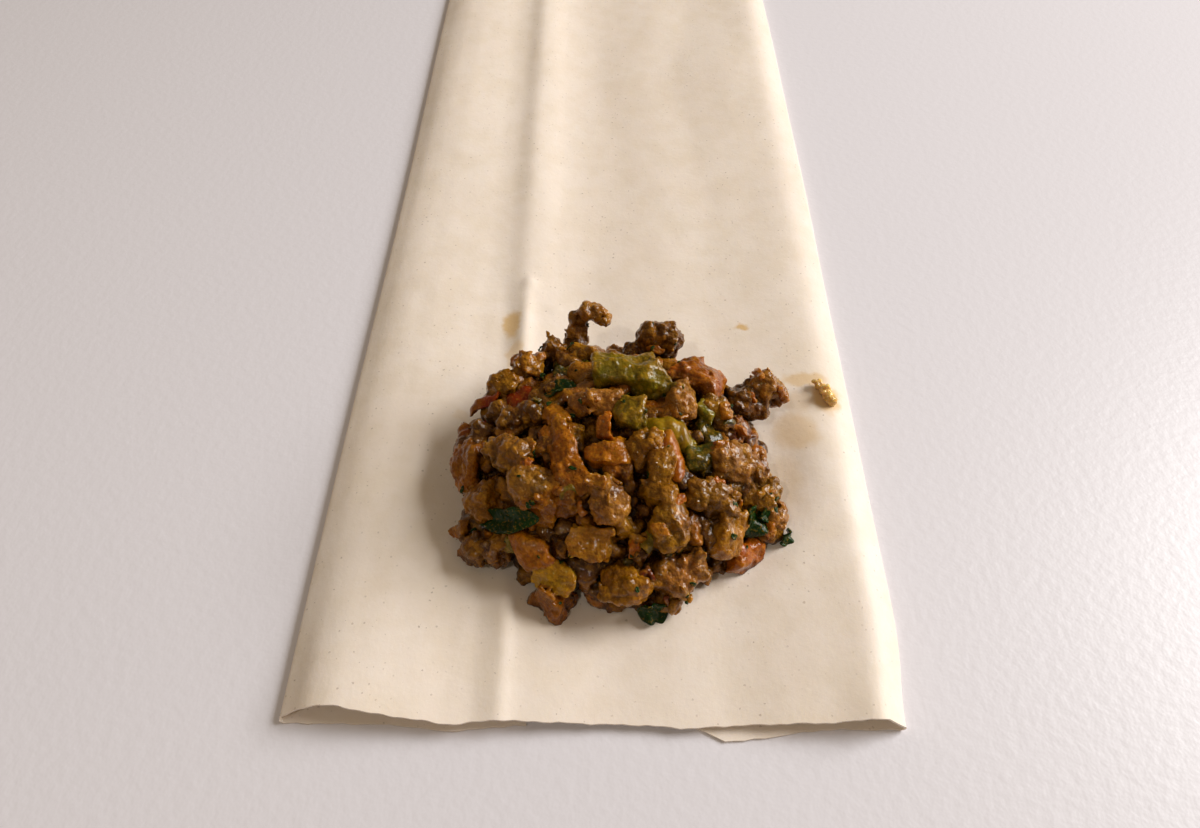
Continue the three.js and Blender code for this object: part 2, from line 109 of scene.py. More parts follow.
# ---- The heap
HEAP_MIDDLE = np.array([2, -110.5])
HEAP_RADII = np.array([25, 24])  # across and along the strip
HEAP_HEIGHT = 16
HEAP_ROUNDNESS = 2.6  # exponents of the heap's flat-topped dome
HEAP_SHOULDER = 0.62
CORE_INSET = 3.6  # the saucy base lies this far inside the heap's outline
CORE_DROP = 4.4  # and this far under its top
FILL_PIECES = 120  # places tried for the smaller pieces between the listed ones
FILL_SIZE = (3.6, 5.8)
FILL_DROP = 0.8  # how far they lie under the dome
RIM_REACH = 0.93  # the outermost of them lie at this share of the heap's outline
BED_REACH = 0.72  # listed pieces further out than this share have a crumb behind them
BED_SIZE = 5.5
BED_DEPTH = 3.2  # how far behind
BED_CRUMBS = 420  # still smaller crumbs on the base
BED_CRUMB_SIZE = (1.6, 3.8)
BED_CRUMB_DEPTH = (1.8, 4.4)
SEED = 7
VOXEL = {"mince_bed": 0.38, "mince": 0.25, "onion": 0.24, "pepper": 0.24}
BAND = 1.1  # how far from a surface its distance is kept
# Kind: size and height of its coarse and fine unevenness, in millimetres.
RELIEF = {
    "mince_bed": (2.1, 1.0, 1.0, 0.6),
    "mince": (1.9, 1.0, 0.8, 0.55),
    "onion": (2.0, 0.5, 0.7, 0.36),
    "pepper": (2.0, 0.5, 0.7, 0.3),
}
GRAINY = ("mince_bed", "mince")
SWIRLS = [(3.4, 0.8), (1.5, 0.38)]  # size and reach of the bends that twist every piece
RAGGED = (0.6, 0.2)  # size and height of the finest unevenness
STRAND_BULK = 0.3  # a strand's share of the swirls and of the coarse unevenness
SHREDS = {"onion": 56, "pepper": 16}  # how many small cut pieces lie on the mince
SHRED_SIZE = (1.6, 3.4)
SHRED_BACK = -95  # none of them lies behind this Y
BIT_HEIGHT = 3  # the lowest Z of the shreds and of the bits of herb
PACKING_STEP = 0.5
PACKING_MARGIN = 8  # room round the heap
PACKING_HEIGHTS = (-4, 26)  # from below the sheet to above the heap
PACKING_REACH = 1.4  # how far round a place its packing is judged
GAP_SHADE_RANGE = (0.68, 0.34)  # packing at which the painted shade in a gap is darkest, and at which there is none
LIT_EDGE_RANGE = (0.26, 0.08)  # packing at which the painted light on open edges starts, and at which it is strongest
LEAF_GRID = (13, 31)  # points across and along a leaf or skin
FLECK_GRID = (5, 9)
THIN = {"leaf": 0.3, "skin": 0.4}  # thicknesses
FLECKS = 70  # bits of herb on the other pieces
FLECK_SIZE = (0.4, 1.3)
FLECK_THICKNESS = 0.1
CRUMB_PLACE = (35.4, -96)  # of the loose crumb

# ---- The pieces that show: kind, centre X Y Z, length, width, thickness,
# turn of the length in the heap's surface (0 across the strip, 90 up the slope), tone.
PIECES = [
    # back
    ("strand", 0.4, -90.4, 13.8, 2.6, 2.6, 2.4, 0, "pink"),
    ("strand", -0.8, -90.1, 14.9, 3, 2.8, 2.8, 0, "pink"),
    ("strand", -2.4, -90, 15, 3, 2.8, 2.8, 0, "pink"),
    ("strand", -3.6, -90.2, 13.6, 3, 2.8, 2.8, 0, "brown"),
    ("strand", -4.1, -90.8, 11.8, 3.2, 3, 3, 0, "pink"),
    ("strand", -4.1, -91.6, 9.8, 3.8, 3.6, 3.8, 0, "brown"),
    ("mince", 1.6, -93.2, 8, 4, 3.2, 3.2, 110, "pink"),
    ("onion", -2, -96.5, 11.4, 5, 4, 3.2, 20, "yellow"),
    ("strand", 7.2, -93.2, 13.2, 4.4, 4.4, 4.4, 30, "brown"),
    ("strand", 10, -93.2, 12.8, 4.6, 4.4, 4.6, 30, "brown"),
    ("strand", 8.8, -93.4, 10.8, 5.6, 5, 4.6, 30, "brown"),
    ("mince", 5.2, -94.8, 10.8, 4.6, 3, 3, 40, "dark"),
    ("mince", -8.8, -95.5, 9.5, 6.8, 4.4, 4.4, 15, "brown"),
    ("mince", -7.2, -93.2, 11.3, 2.4, 1.7, 2, 70, "yellow"),
    ("mince", -6.6, -104, 13.5, 4, 3.2, 3.4, 0, "brown"),
    ("leaf", -5.8, -105.6, 14.2, 4.6, 2, 0.6, 0, "herb"),
    # left
    ("mince", -13.2, -100, 10.6, 9, 6, 5.4, 10, "yellow"),
    ("skin", -13.6, -104.8, 10.6, 9.6, 5, 1, 0, "red"),
    ("skin", -17.8, -103.8, 9.6, 6, 1.8, 1, -10, "red"),
    ("skin", -21, -108.6, 7.2, 4.6, 2.4, 1.2, 75, "rust"),
    ("mince", -14.4, -109.8, 10, 15, 4, 4.2, 5, "brown"),
    ("onion", -18.8, -113, 7.6, 9.6, 4.4, 2.6, 80, "amber"),
    ("mince", -11.8, -117.2, 12, 11.4, 5.4, 4.6, -42, "grey"),
    ("mince", -8.6, -120.4, 11.8, 7, 5.4, 4.4, -42, "tan"),
    ("mince", -5.8, -123.2, 11.6, 7.4, 6.2, 4.6, 20, "amber"),
    ("onion", -16.2, -119.8, 7.6, 6.8, 4.8, 3.6, 20, "yellow"),
    ("leaf", -12.6, -123.8, 8.6, 9, 2.8, 0.8, 0, "herb"),
    ("mince", -15.6, -125.2, 4.2, 6.4, 5, 5, 10, "brown"),
    ("onion", -19.2, -122.6, 4.6, 4, 2.4, 2.4, 0, "amber"),
    ("mince", -12.4, -126.2, 6, 3.6, 3.4, 3.4, 0, "yellow"),
    # front
    ("onion", -5.4, -130.6, 5.2, 8.6, 4, 2, -8, "straw"),
    ("onion", -8.8, -127.6, 7.4, 6.4, 3.8, 2.6, -50, "amber"),
    ("onion", -6, -132, 3, 5.4, 4.6, 4.4, 70, "amber"),
    ("onion", -0.4, -127.4, 9.6, 6.8, 5.2, 2.6, -10, "tan"),
    ("mince", 0.9, -123.4, 12.8, 7, 4.4, 4, 100, "pink"),
    ("mince", -7.2, -126.4, 7.6, 6, 4.6, 4.2, 0, "dark"),
    ("mince", 3.7, -126, 10, 3.6, 3.4, 3.4, 0, "yellow"),
    ("mince", 5.3, -130.4, 5.6, 7.8, 6, 5.4, 0, "yellow"),
    ("mince", 10.8, -128.4, 5, 5.8, 5.8, 6, 60, "pink"),
    ("mince", 9, -131.8, 2.8, 4.6, 3.6, 3.2, 0, "yellow"),
    ("leaf", 7.2, -133.6, 2, 3.8, 2.8, 0.7, 0, "herb"),
    ("mince", 6.6, -126.6, 8, 6, 4.6, 4.4, 20, "dark"),
    # right
    ("pepper", 20, -125.2, 2.4, 6.4, 4.6, 2.4, -10, "orange"),
    ("onion", 16.6, -125.2, 7.4, 6.6, 6, 3, 80, "tan"),
    ("leaf", 21, -121.8, 6, 4.4, 3.6, 0.8, 60, "herb"),
    ("leaf", 23.6, -120, 6, 4.4, 2.4, 0.7, 20, "herb"),
    ("mince", 24.4, -120.6, 3.8, 4.8, 4.6, 4.6, 60, "pink"),
    ("leaf", 26, -122.4, 2.6, 2.4, 1.8, 0.6, 30, "herb"),
    ("mince", 19, -115.6, 10.2, 10, 5.4, 5.2, 10, "pink"),
    ("mince", 22.4, -117.8, 7.2, 6.4, 5.6, 5, 60, "yellow"),
    ("pepper", 14.3, -116, 12.4, 6.6, 4.4, 2.6, 10, "moss"),
    ("mince", 25.4, -99.6, 8, 6, 4.6, 4.6, 70, "pink"),
    ("mince", 21.2, -101.8, 7.4, 6, 5.6, 5.4, 0, "brown"),
    ("mince", 15.8, -108.4, 12.6, 5, 4.8, 4.6, 0, "yellow"),
    ("onion", 13.8, -101.8, 12.2, 8, 7.4, 4.4, -25, "orange"),
    ("pepper", 15, -111.4, 11.6, 5, 5, 3.4, 20, "moss"),
    ("mince", 19.2, -108.4, 8.8, 5.2, 4.4, 4.4, 0, "rust"),
    # top
    ("pepper", 4.9, -103.2, 15.6, 12.6, 5, 3.4, 3, "olive"),
    ("pepper", 3.7, -111, 16, 4.8, 4.2, 3.8, 90, "lime"),
    ("mince", -1, -108.4, 15.4, 6.4, 3.6, 3.6, 0, "pink"),
    ("onion", 0.5, -113.2, 15.8, 4.8, 2.8, 2.8, 95, "orange"),
    ("mince", 10.7, -108, 14.4, 6.8, 5.4, 4.8, -45, "pink"),
    ("skin", 9.6, -113.2, 15.4, 7, 3.4, 1, -20, "lime"),
    ("mince", 5.9, -116.4, 15, 5.6, 4.6, 4, 110, "yellow"),
    ("onion", 0.8, -117.4, 14.8, 5.4, 3.6, 3, 10, "amber"),
    ("onion", -4.9, -117, 13.6, 12, 4.6, 3, 105, "amber"),
    ("onion", 8.1, -119, 14.4, 6.4, 4.2, 3, 80, "yellow"),
    ("skin", 9.8, -117.4, 15.2, 7, 2, 1.2, 100, "orange"),
    ("mince", 8.6, -124.4, 12.2, 8.8, 5.6, 4.8, 115, "yellow"),
    ("mince", 14.5, -121.8, 10.8, 6.2, 5.4, 4.6, 0, "yellow"),
]

# ---- Colours, as red, green and blue out of 255
TONES = {
    "pink": (158, 106, 44),
    "brown": (98, 56, 6),
    "grey": (134, 92, 27),
    "dark": (73, 36, 2),
    "yellow": (140, 92, 4),
    "amber": (160, 94, 2),
    "straw": (206, 156, 20),
    "crumb": (226, 188, 116),
    "tan": (176, 120, 26),
    "orange": (164, 86, 2),
    "rust": (108, 41, 2),
    "red": (126, 30, 1),
    "olive": (114, 106, 6),
    "lime": (124, 110, 6),
    "moss": (62, 68, 2),
    "herb": (18, 46, 9),
}
DOUGH = (243, 230, 217)
DARKER_DOUGH = (236, 219, 203)
DOUGH_MOTTLES = (226, 208, 184)
SINGLE_LAYER = (218, 200, 184)
BRAN = (112, 82, 58)
OIL = (214, 172, 104)
FLOOR_COLOUR = (223, 220, 226)
SAUCE = (86, 46, 1)
# Colour of paler grains, and of the painted light on open edges and on the tops of the fine relief
PALE_GRAIN_AND_LIGHT = (182, 130, 30)
PAINTED_GAP_SHADE = (0.14, 0.06, 0.02)  # what is left of each colour under the painted shade in the deepest gaps
DEPTH = (0.9, 0.84, 0.75)  # and of the cooked colours everywhere
# Kind: how much sauce, how far single grains differ, how dark the painted shade between them is,
# grain size.
COLOURING = {
    "mince_bed": (0.5, 0.6, 0.6, 1.0),
    "mince": (0.5, 0.5, 0.35, 0.8),
    "onion": (0.45, 0.35, 0.25, 0.7),
    "pepper": (0.4, 0.35, 0.25, 0.7),
    "skin": (0.4, 0.3, 0.2, 0.8),
}
FIBRES = {"onion": (0.7, 0.13), "pepper": (0.9, 0.09)}  # spacing and strength
FILL_TONES = {
    "mince": ["brown", "brown", "pink", "yellow", "grey", "dark"],
    "onion": ["amber", "yellow", "tan"],
    "pepper": ["olive", "moss", "amber"],
}
CRUMB_TONES = ["brown", "yellow", "yellow", "pink", "dark", "amber"]
SHRED_TONES = {
    "onion": ["amber", "amber", "yellow", "tan", "orange"],
    "pepper": ["olive", "moss", "rust"],
}
TONE_JITTER = 0.1


# ---- Small helpers
def smooth(low, high, value):
    """Rises smoothly from 0 at low to 1 at high, whichever is larger."""
    share = np.clip((value - low) / (high - low), 0.0, 1.0)
    return share * share * (3.0 - 2.0 * share)


def bump(value, centre, width):
    return np.exp(-(((value - centre) / width) ** 2))


def lerp(low, high, share):
    return low + (high - low) * share


def linear(colour):
    """Scene-linear colour of red, green and blue out of 255."""
    values = np.array(colour) / 255
    low = values / 12.92
    high = ((values + 0.055) / 1.055) ** 2.4
    return (*np.where(values <= 0.04045, low, high), 1.0)


def seeded_run(seed):
    """The same run of numbers from 0 to 1 as in the part's source."""
    state = seed
    while True:
        state = (state * 16807) % 2147483647
        yield state / 2147483647


def blended(values, cell, share):
    """The values at the eight corners of each point's cell, weighed by its share on each axis."""
    total = np.zeros(len(cell))
    for corner in np.ndindex(2, 2, 2):
        weight = np.prod(np.where(corner, share, 1 - share), axis=1)
        x, y, z = ((cell + corner) % values.shape).T
        total += weight * values[x, y, z]
    return total


NOISE_CELLS = (32, 32, 32)  # after so many the noise repeats


def value_noise(points, size, seed):
    """Soft noise from -1 to 1 whose features are about size millimetres across."""
    table = np.random.default_rng(seed).uniform(-1, 1, NOISE_CELLS)
    place = points / size + seed
    cell = np.floor(place).astype(int)
    share = place - cell
    return blended(table, cell, share * share * (3 - 2 * share))


def plane_noise(x, y, size, seed):
    """The same noise at places in a level plane."""
    x, y = np.broadcast_arrays(x, y)
    points = np.stack([x, y, 0 * x], -1).reshape(-1, 3)
    return value_noise(points, size, seed).reshape(x.shape)


def grains(points, size, seed):
    """For each point, the distance to the middle of the nearest grain, in grains, and a number
    from 0 to 1 that is the same all over that grain."""
    count = 16
    random = np.random.default_rng(seed)
    jitter = random.random((count, count, count, 3)).astype(np.float32)
    tints = random.random((count, count, count))
    place = (points / size + seed).astype(np.float32)
    cell = np.floor(place).astype(int)
    nearest = np.full(len(points), 9.0, np.float32)
    tint = np.zeros(len(points))
    for step in np.ndindex(3, 3, 3):
        near = cell + step - 1
        x, y, z = (near % count).T
        squared = ((near + jitter[x, y, z] - place) ** 2).sum(1)
        closer = squared < nearest
        nearest[closer] = squared[closer]
        tint[closer] = tints[x, y, z][closer]
    return np.sqrt(nearest), tint


def smooth_min(a, b, blend):
    share = np.clip(0.5 + 0.5 * (b - a) / blend, 0, 1)
    return lerp(b, a, share) - blend * share * (1 - share)


# ---- The sheet as a surface
def heap_reach(x, y):
    """Share of the way from the heap's middle to its outline."""
    (middle_x, middle_y), (across, along) = HEAP_MIDDLE, HEAP_RADII
    return np.hypot((x - middle_x) / across, (y - middle_y) / along)


def flap_line(y):
    return LEFT_FLAP_EDGE + FLAP_SKEW * (y - HEAP_MIDDLE[1])


def left_flap_edge(y):
    return flap_line(y) + 3.5 * bump(y, NEAR_END, 8)


def ridge_line(y):
    return flap_line(y) - 0.4


def half_width(y, side):
    wander = np.sin(y / 23 + 0.4) if side < 0 else np.sin(y / 27 + 2.6) + 0.3 * np.sin(y / 9)
    near_corner = 0 if side < 0 else 1.6 * bump(y, NEAR_END, 9)
    return STRIP_WIDTH / 2 - EDGE_BOW * (1 - wander) * 0.5 - near_corner


def pressed(x, y):
    """1 under the heap, which presses the layers together, and 0 away from it."""
    return 1 - smooth(0.85, 1.25, heap_reach(x, y))


def across_heights():
    """Closely spaced places across the strip and the rounded heights there."""
    step = 0.1
    places, heights = zip(*ACROSS)
    fine = np.arange(places[0], places[-1] + step, step)
    reach = round(3 * SOFTNESS / step)
    weights = np.exp(-0.5 * (np.arange(-reach, reach + 1) * step / SOFTNESS) ** 2)
    heights = np.interp(fine, places, heights)
    padded = np.pad(heights, reach, mode="reflect", reflect_type="odd")
    return fine, np.convolve(padded, weights / weights.sum(), mode="valid")


ACROSS_FINE = across_heights()


def free_height(x, y):
    """Height of the top layer away from the heap. Its left part follows the flap's free edge."""
    follows = smooth(-36, -22, x) * smooth(8, -6, x)
    wander = plane_noise(x, y, 24, 11) * smooth(-8, 4, x) * smooth(36, 26, x)
    shifted = x - follows * (ridge_line(y) - RIDGE_X) + WANDER * wander
    height = np.interp(shifted, *ACROSS_FINE)
    slow = 1 + 0.12 * np.sin(y / 21 + 1.2) + 0.08 * np.sin(y / 9 + x / 14)
    near = smooth(-126, -146, y) * smooth(-22, -8, x) * smooth(24, 12, x)
    height = UPPER_FLAT + (height - UPPER_FLAT) * lerp(slow, 0.45, near)
    return height + NEAR_FOLD_RISE * bump(x, 36.5, 4) * smooth(-84, -128, y)


def rises(x, y, listed):
    return sum(
        height * bump(x, centre_x, across) * bump(y, centre_y, along)
        for centre_x, centre_y, across, along, height in listed
    )


def crease(x, y):
    """The sharp fold on the ridge beside the heap, with a flat lower facet at its left."""
    along = smooth(CREASE_START, CREASE_START - 14, y) * lerp(0.45, 1, smooth(-144, -130, y))
    line = ridge_line(y) + 0.6
    fold = CREASE_HEIGHT * bump(x, line, CREASE_WIDTH)
    facet = 0.28 * bump(x, line - 3, 2)
    rounded = 0.22 * bump(x, line + 2.4, 2)
    return along * (fold - facet - rounded)


def fine_relief(x, y):
    cockle = plane_noise(x, y, 6, 3) + 0.5 * plane_noise(x, y, 2.6, 4)
    return crease(x, y) + COCKLE * cockle + rises(x, y, PUCKERS)


def top_layer(x, y):
    """Middle height of the top layer."""
    on_left = 1 - smooth(left_flap_edge(y), left_flap_edge(y) + STEP_RUN, x)
    on_right = smooth(RIGHT_FLAP_EDGE - STEP_RUN, RIGHT_FLAP_EDGE, x)
    base = TABLE_LAYER + (UPPER_LAYER - TABLE_LAYER) * np.maximum(on_left, on_right)
    inside = smooth(0, 4, np.minimum(x + half_width(y, -1), half_width(y, 1) - x))
    loose = np.maximum(free_height(x, y) + rises(x, y, GAPES) * inside, base)
    return lerp(loose, base, pressed(x, y))


def sheet_top(x, y):
    return top_layer(x, y) + SHEET / 2


# ---- The cut edges and the folded sheet
def waves(x, listed):
    return sum(depth * bump(x, centre, reach) for centre, reach, depth in listed)


def near_cut(x, top):
    left = 0.1 - 0.8 * bump(x, -18.5, 5)
    right = -1.6 * smooth(30, 16, x) * smooth(RIGHT_FLAP_EDGE - 0.5, 16, x)
    ragged = 0.12 * np.sin(x * 1.7) * np.sin(x * 0.61 + 2)
    return NEAR_CUT + np.where(top, waves(x, NEAR_WAVES), np.where(x < 0, left, right)) + ragged


def far_cut(x, top):
    return FAR_END - 0.4 + 0.4 * np.sin(x / 11 + 1) + np.where(top, waves(x, FAR_WAVES), 0)


def fold(y, middle, first, last):
    """The points round a fold from one angle to another, without its ends: their X, their
    heights, and which of them lie on its upper side."""
    angles = np.linspace(first, last, FOLD_COLUMNS)[None, 1:-1]
    heights = LAYER / 2 + FOLD_RADIUS * (1 + np.sin(angles)) + 0 * y
    return middle + FOLD_RADIUS * np.cos(angles), heights, (np.sin(angles) > 0)[0]


def top_part(y, left, right):
    """The same for the top layer, whose ends lie where it leaves the folds."""
    ridge = ridge_line(y)
    first = left - FOLD_RADIUS * math.sin(LEFT_LEAN)
    last = right + FOLD_RADIUS * math.sin(RIGHT_LEAN)
    stops = [first, ridge - 6, ridge + 6, RIGHT_FLAP_EDGE - 3 + 0 * y, last]
    spans = [
        lerp(low, high, np.linspace(0, 1, count + 1)[None, :-1])
        for low, high, count in zip(stops, stops[1:], TOP_COLUMNS)
    ]
    x = np.concatenate([*spans, last], axis=1)
    height = top_layer(x, y) + fine_relief(x, y) * (1 - pressed(x, y))
    ends = [LAYER / 2 + FOLD_RADIUS * (1 + math.cos(lean)) for lean in (LEFT_LEAN, RIGHT_LEAN)]
    at_left = (ends[0] - height[:, :1]) * smooth(3, 0, x - x[:, :1])
    at_right = (ends[1] - height[:, -1:]) * smooth(3, 0, x[:, -1:] - x)
    return x, height + at_left + at_right, np.ones(x.shape[1], bool)


def folded_sheet():
    """The sheet's middle surface, as a grid of points in millimetres: a row of points runs from
    the left flap's free edge round the left fold, over the top and back under on the right."""
    near = np.linspace(0, NEAR_SHARE, NEAR_ROWS)
    far = np.linspace(NEAR_SHARE, 1, FAR_ROWS)[1:]
    along = np.concatenate([near, far])[:, None]
    y = lerp(NEAR_END, FAR_END, along)
    left = -(half_width(y, -1) - LAYER / 2 - FOLD_RADIUS)
    right = half_width(y, 1) - LAYER / 2 - FOLD_RADIUS
    shares = np.linspace(0, 1, FLAP_COLUMNS)
    flat = np.full((1, FLAP_COLUMNS), LAYER / 2) + 0 * y
    under = np.zeros(FLAP_COLUMNS, bool)
    parts = [
        (lerp(left_flap_edge(y), left, shares), flat, under),
        fold(y, left, -math.pi / 2, -1.5 * math.pi + LEFT_LEAN),
        top_part(y, left, right),
        fold(y, right, math.pi / 2 - RIGHT_LEAN, -math.pi / 2),
        (lerp(right, RIGHT_FLAP_EDGE, shares), flat, under),
    ]
    x, z, upper = (np.concatenate(each, axis=-1) for each in zip(*parts))
    return np.stack([x, lerp(near_cut(x, upper), far_cut(x, upper), along), z], -1)


def closed_sheet(grid, thickness):
    """Points and faces of a thin closed solid round a grid of middle points."""
    normal = np.cross(np.gradient(grid, axis=1), np.gradient(grid, axis=0))
    normal /= np.maximum(np.linalg.norm(normal, axis=-1, keepdims=True), 1e-9)
    points = np.concatenate([grid - normal * thickness / 2, grid + normal * thickness / 2])
    rows, columns = grid.shape[:2]
    ids = np.arange(2 * rows * columns).reshape(2, rows, columns)
    a, b, c, d = ids[:, :-1, :-1], ids[:, :-1, 1:], ids[:, 1:, 1:], ids[:, 1:, :-1]
    faces = [
        np.stack([a[0], b[0], c[0], d[0]], -1).reshape(-1, 4),
        np.stack([a[1], d[1], c[1], b[1]], -1).reshape(-1, 4),
    ]
    rim = np.concatenate([ids[0, 0], ids[0, 1:, -1], ids[0, -1, -2::-1], ids[0, -2:0:-1, 0]])
    after = np.roll(rim, -1)
    lift = rows * columns
    faces.append(np.stack([after, rim, rim + lift, after + lift], -1))
    return points.reshape(-1, 3), np.concatenate(faces)


# ---- Shapes of the filling's pieces, as distances to their surface. Points are in the
# piece's own millimetres: length along X, width along Y, thickness along Z.
def unit(random):
    direction = random.normal(size=3)
    return direction / np.linalg.norm(direction)


def mince_lump(points, size, random):
    """Blobs along a bent line, with smaller knobs on them."""
    length, width, thickness = size
    scaled = points * (1, 1, width / thickness)
    count = max(2, round(1.6 * length / width))
    reach = max(length / 2 - 0.4 * width, 0.12 * length)
    distance = np.full(len(points), 9.0)
    bodies = []
    for share in np.linspace(-1, 1, count):
        centre = np.array([share * reach, 0, 0]) + width * random.uniform(-0.15, 0.15, 3)
        radius = width / 2 * random.uniform(0.7, 1)
        bodies.append((centre, radius))
        distance = smooth_min(distance, np.linalg.norm(scaled - centre, axis=1) - radius, 0.5)
    for _ in range(8 + 2 * int(length)):
        centre, radius = bodies[random.integers(count)]
        knob_radius = width * random.uniform(0.1, 0.22)
        knob = centre + unit(random) * (radius - 0.4 * knob_radius)
        distance = smooth_min(distance, np.linalg.norm(scaled - knob, axis=1) - knob_radius, 0.3)
    return distance


def strand_part(points, size, random):
    """A rounded part of a thick strand of mince, only slightly uneven."""
    radii = np.array(size) / 2
    distance = (np.linalg.norm(points / radii, axis=1) - 1) * radii.min()
    return distance + 0.15 * np.sin(3 * points[:, 0] + random.uniform(0, 6))


def cut_piece(points, size, random):
    """A chunk of vegetable: a bent slab with soft edges and some corners cut off."""
    length, width, thickness = size
    x, y, z = points.T
    z = z + random.uniform(-0.5, 1) * thickness * 0.4 * ((2 * x / length) ** 2 - 0.3)
    z = z + random.uniform(-0.2, 0.7) * thickness * 0.3 * ((2 * y / width) ** 2 - 0.3)
    y = y * (1 + random.uniform(-0.3, 0.3) * 2 * x / length)
    half = np.array(size) / 2
    rounding = 0.35 * half.min()
    outside = np.abs(np.stack([x, y, z], -1)) - (half - rounding)
    distance = np.linalg.norm(np.maximum(outside, 0), axis=1)
    distance = distance + np.minimum(outside.max(axis=1), 0) - rounding
    for _ in range(6):
        direction = unit(random)
        extent = np.abs(direction) @ half * random.uniform(0.46, 0.82)
        distance = -smooth_min(-distance, extent - points @ direction, 0.3)
    return distance


def lines(points, spacing, height, random):
    """Fine lines along a piece, for the fibres of onion and the ribs of pepper."""
    x, y, _ = points.T
    phase = random.uniform(0, 2 * math.pi)
    bent = y + random.uniform(-0.3, 0.3) * x + 0.25 * np.sin(0.9 * x + phase)
    return height * np.cos(2 * math.pi * bent / spacing + phase)


def onion_piece(points, size, random):
    return cut_piece(points, size, random) + lines(points, 0.9, 0.03, random)


def pepper_piece(points, size, random):
    return cut_piece(points, size, random) + lines(points, 2.1, 0.06, random)


SHAPES = {"mince": mince_lump, "strand": strand_part, "onion": onion_piece, "pepper": pepper_piece}


# ---- The heap
def dome(reach):
    """Height of the heap's dome from 0 to 1, at a share of the way out from its middle."""
    return (1 - np.minimum(reach, 1) ** HEAP_ROUNDNESS) ** HEAP_SHOULDER


def heap_height(reach):
    return HEAP_HEIGHT * dome(reach)


def heap_place(reach, angle, inset):
    """X and Y at a share of the way out to the heap's outline, drawn in by inset."""
    return HEAP_MIDDLE + (HEAP_RADII - inset) * reach * (math.cos(angle), math.sin(angle))


def piece_axes(x, y, turn):
    """Rows: the piece's length, width and thickness directions, lying in the heap's surface."""
    reach = min(heap_reach(x, y), 0.97)
    fall = HEAP_ROUNDNESS * HEAP_SHOULDER * reach ** (HEAP_ROUNDNESS - 2)
    steep = HEAP_HEIGHT * fall * (1 - reach**HEAP_ROUNDNESS) ** (HEAP_SHOULDER - 1)
    slopes = steep * ((x, y) - HEAP_MIDDLE) / HEAP_RADII**2
    normal = np.array([*slopes, 1.0])
    normal /= np.linalg.norm(normal)
    across = np.array([1.0, 0, 0]) - normal[0] * normal
    across /= np.linalg.norm(across)
    up = np.cross(normal, across)
    angle = math.radians(turn)
    length_way = across * math.cos(angle) + up * math.sin(angle)
    width_way = up * math.cos(angle) - across * math.sin(angle)
    return np.stack([length_way, width_way, normal])


def fill_pieces():
    """The smaller pieces between the listed ones, at the places that the part's source gives."""
    run = seeded_run(SEED)
    tones = np.random.default_rng(SEED)
    golden_angle = math.pi * (3 - math.sqrt(5))
    pieces = []
    for i in range(FILL_PIECES):
        reach = RIM_REACH * math.sqrt((i + 0.5) / FILL_PIECES)
        size = lerp(*FILL_SIZE, next(run))
        turn = 180 * next(run)
        chance = next(run)
        x, y = heap_place(reach, i * golden_angle, size / 2)
        z = max(0.4 * size + 0.6, 1 + heap_height(reach) - 0.45 * size - FILL_DROP)
        kind = "mince" if chance < 0.7 else "onion" if chance < 0.9 else "pepper"
        tone = tones.choice(FILL_TONES[kind])
        covered = any(
            math.dist((x, y, z), piece[1:4]) < 0.24 * (piece[4] + piece[5]) + 0.2 * size
            for piece in PIECES
        )
        if not covered:
            pieces.append((kind, x, y, z, size, 0.8 * size, 0.7 * size, turn, tone))
    return pieces


def bed_pieces():
    """A crumb behind each of the outermost listed pieces but the strands that stick out."""
    middle = np.array([*HEAP_MIDDLE, HEAP_HEIGHT / 3])
    pieces = []
    for kind, x, y, z, *_ in PIECES:
        if kind != "strand" and heap_reach(x, y) > BED_REACH:
            inward = middle - (x, y, z)
            place = (x, y, z) + BED_DEPTH * inward / np.linalg.norm(inward)
            size = (BED_SIZE, 0.8 * BED_SIZE, 0.8 * BED_SIZE)
            pieces.append(("mince", *place, *size, 90 - x, "brown"))
    return pieces


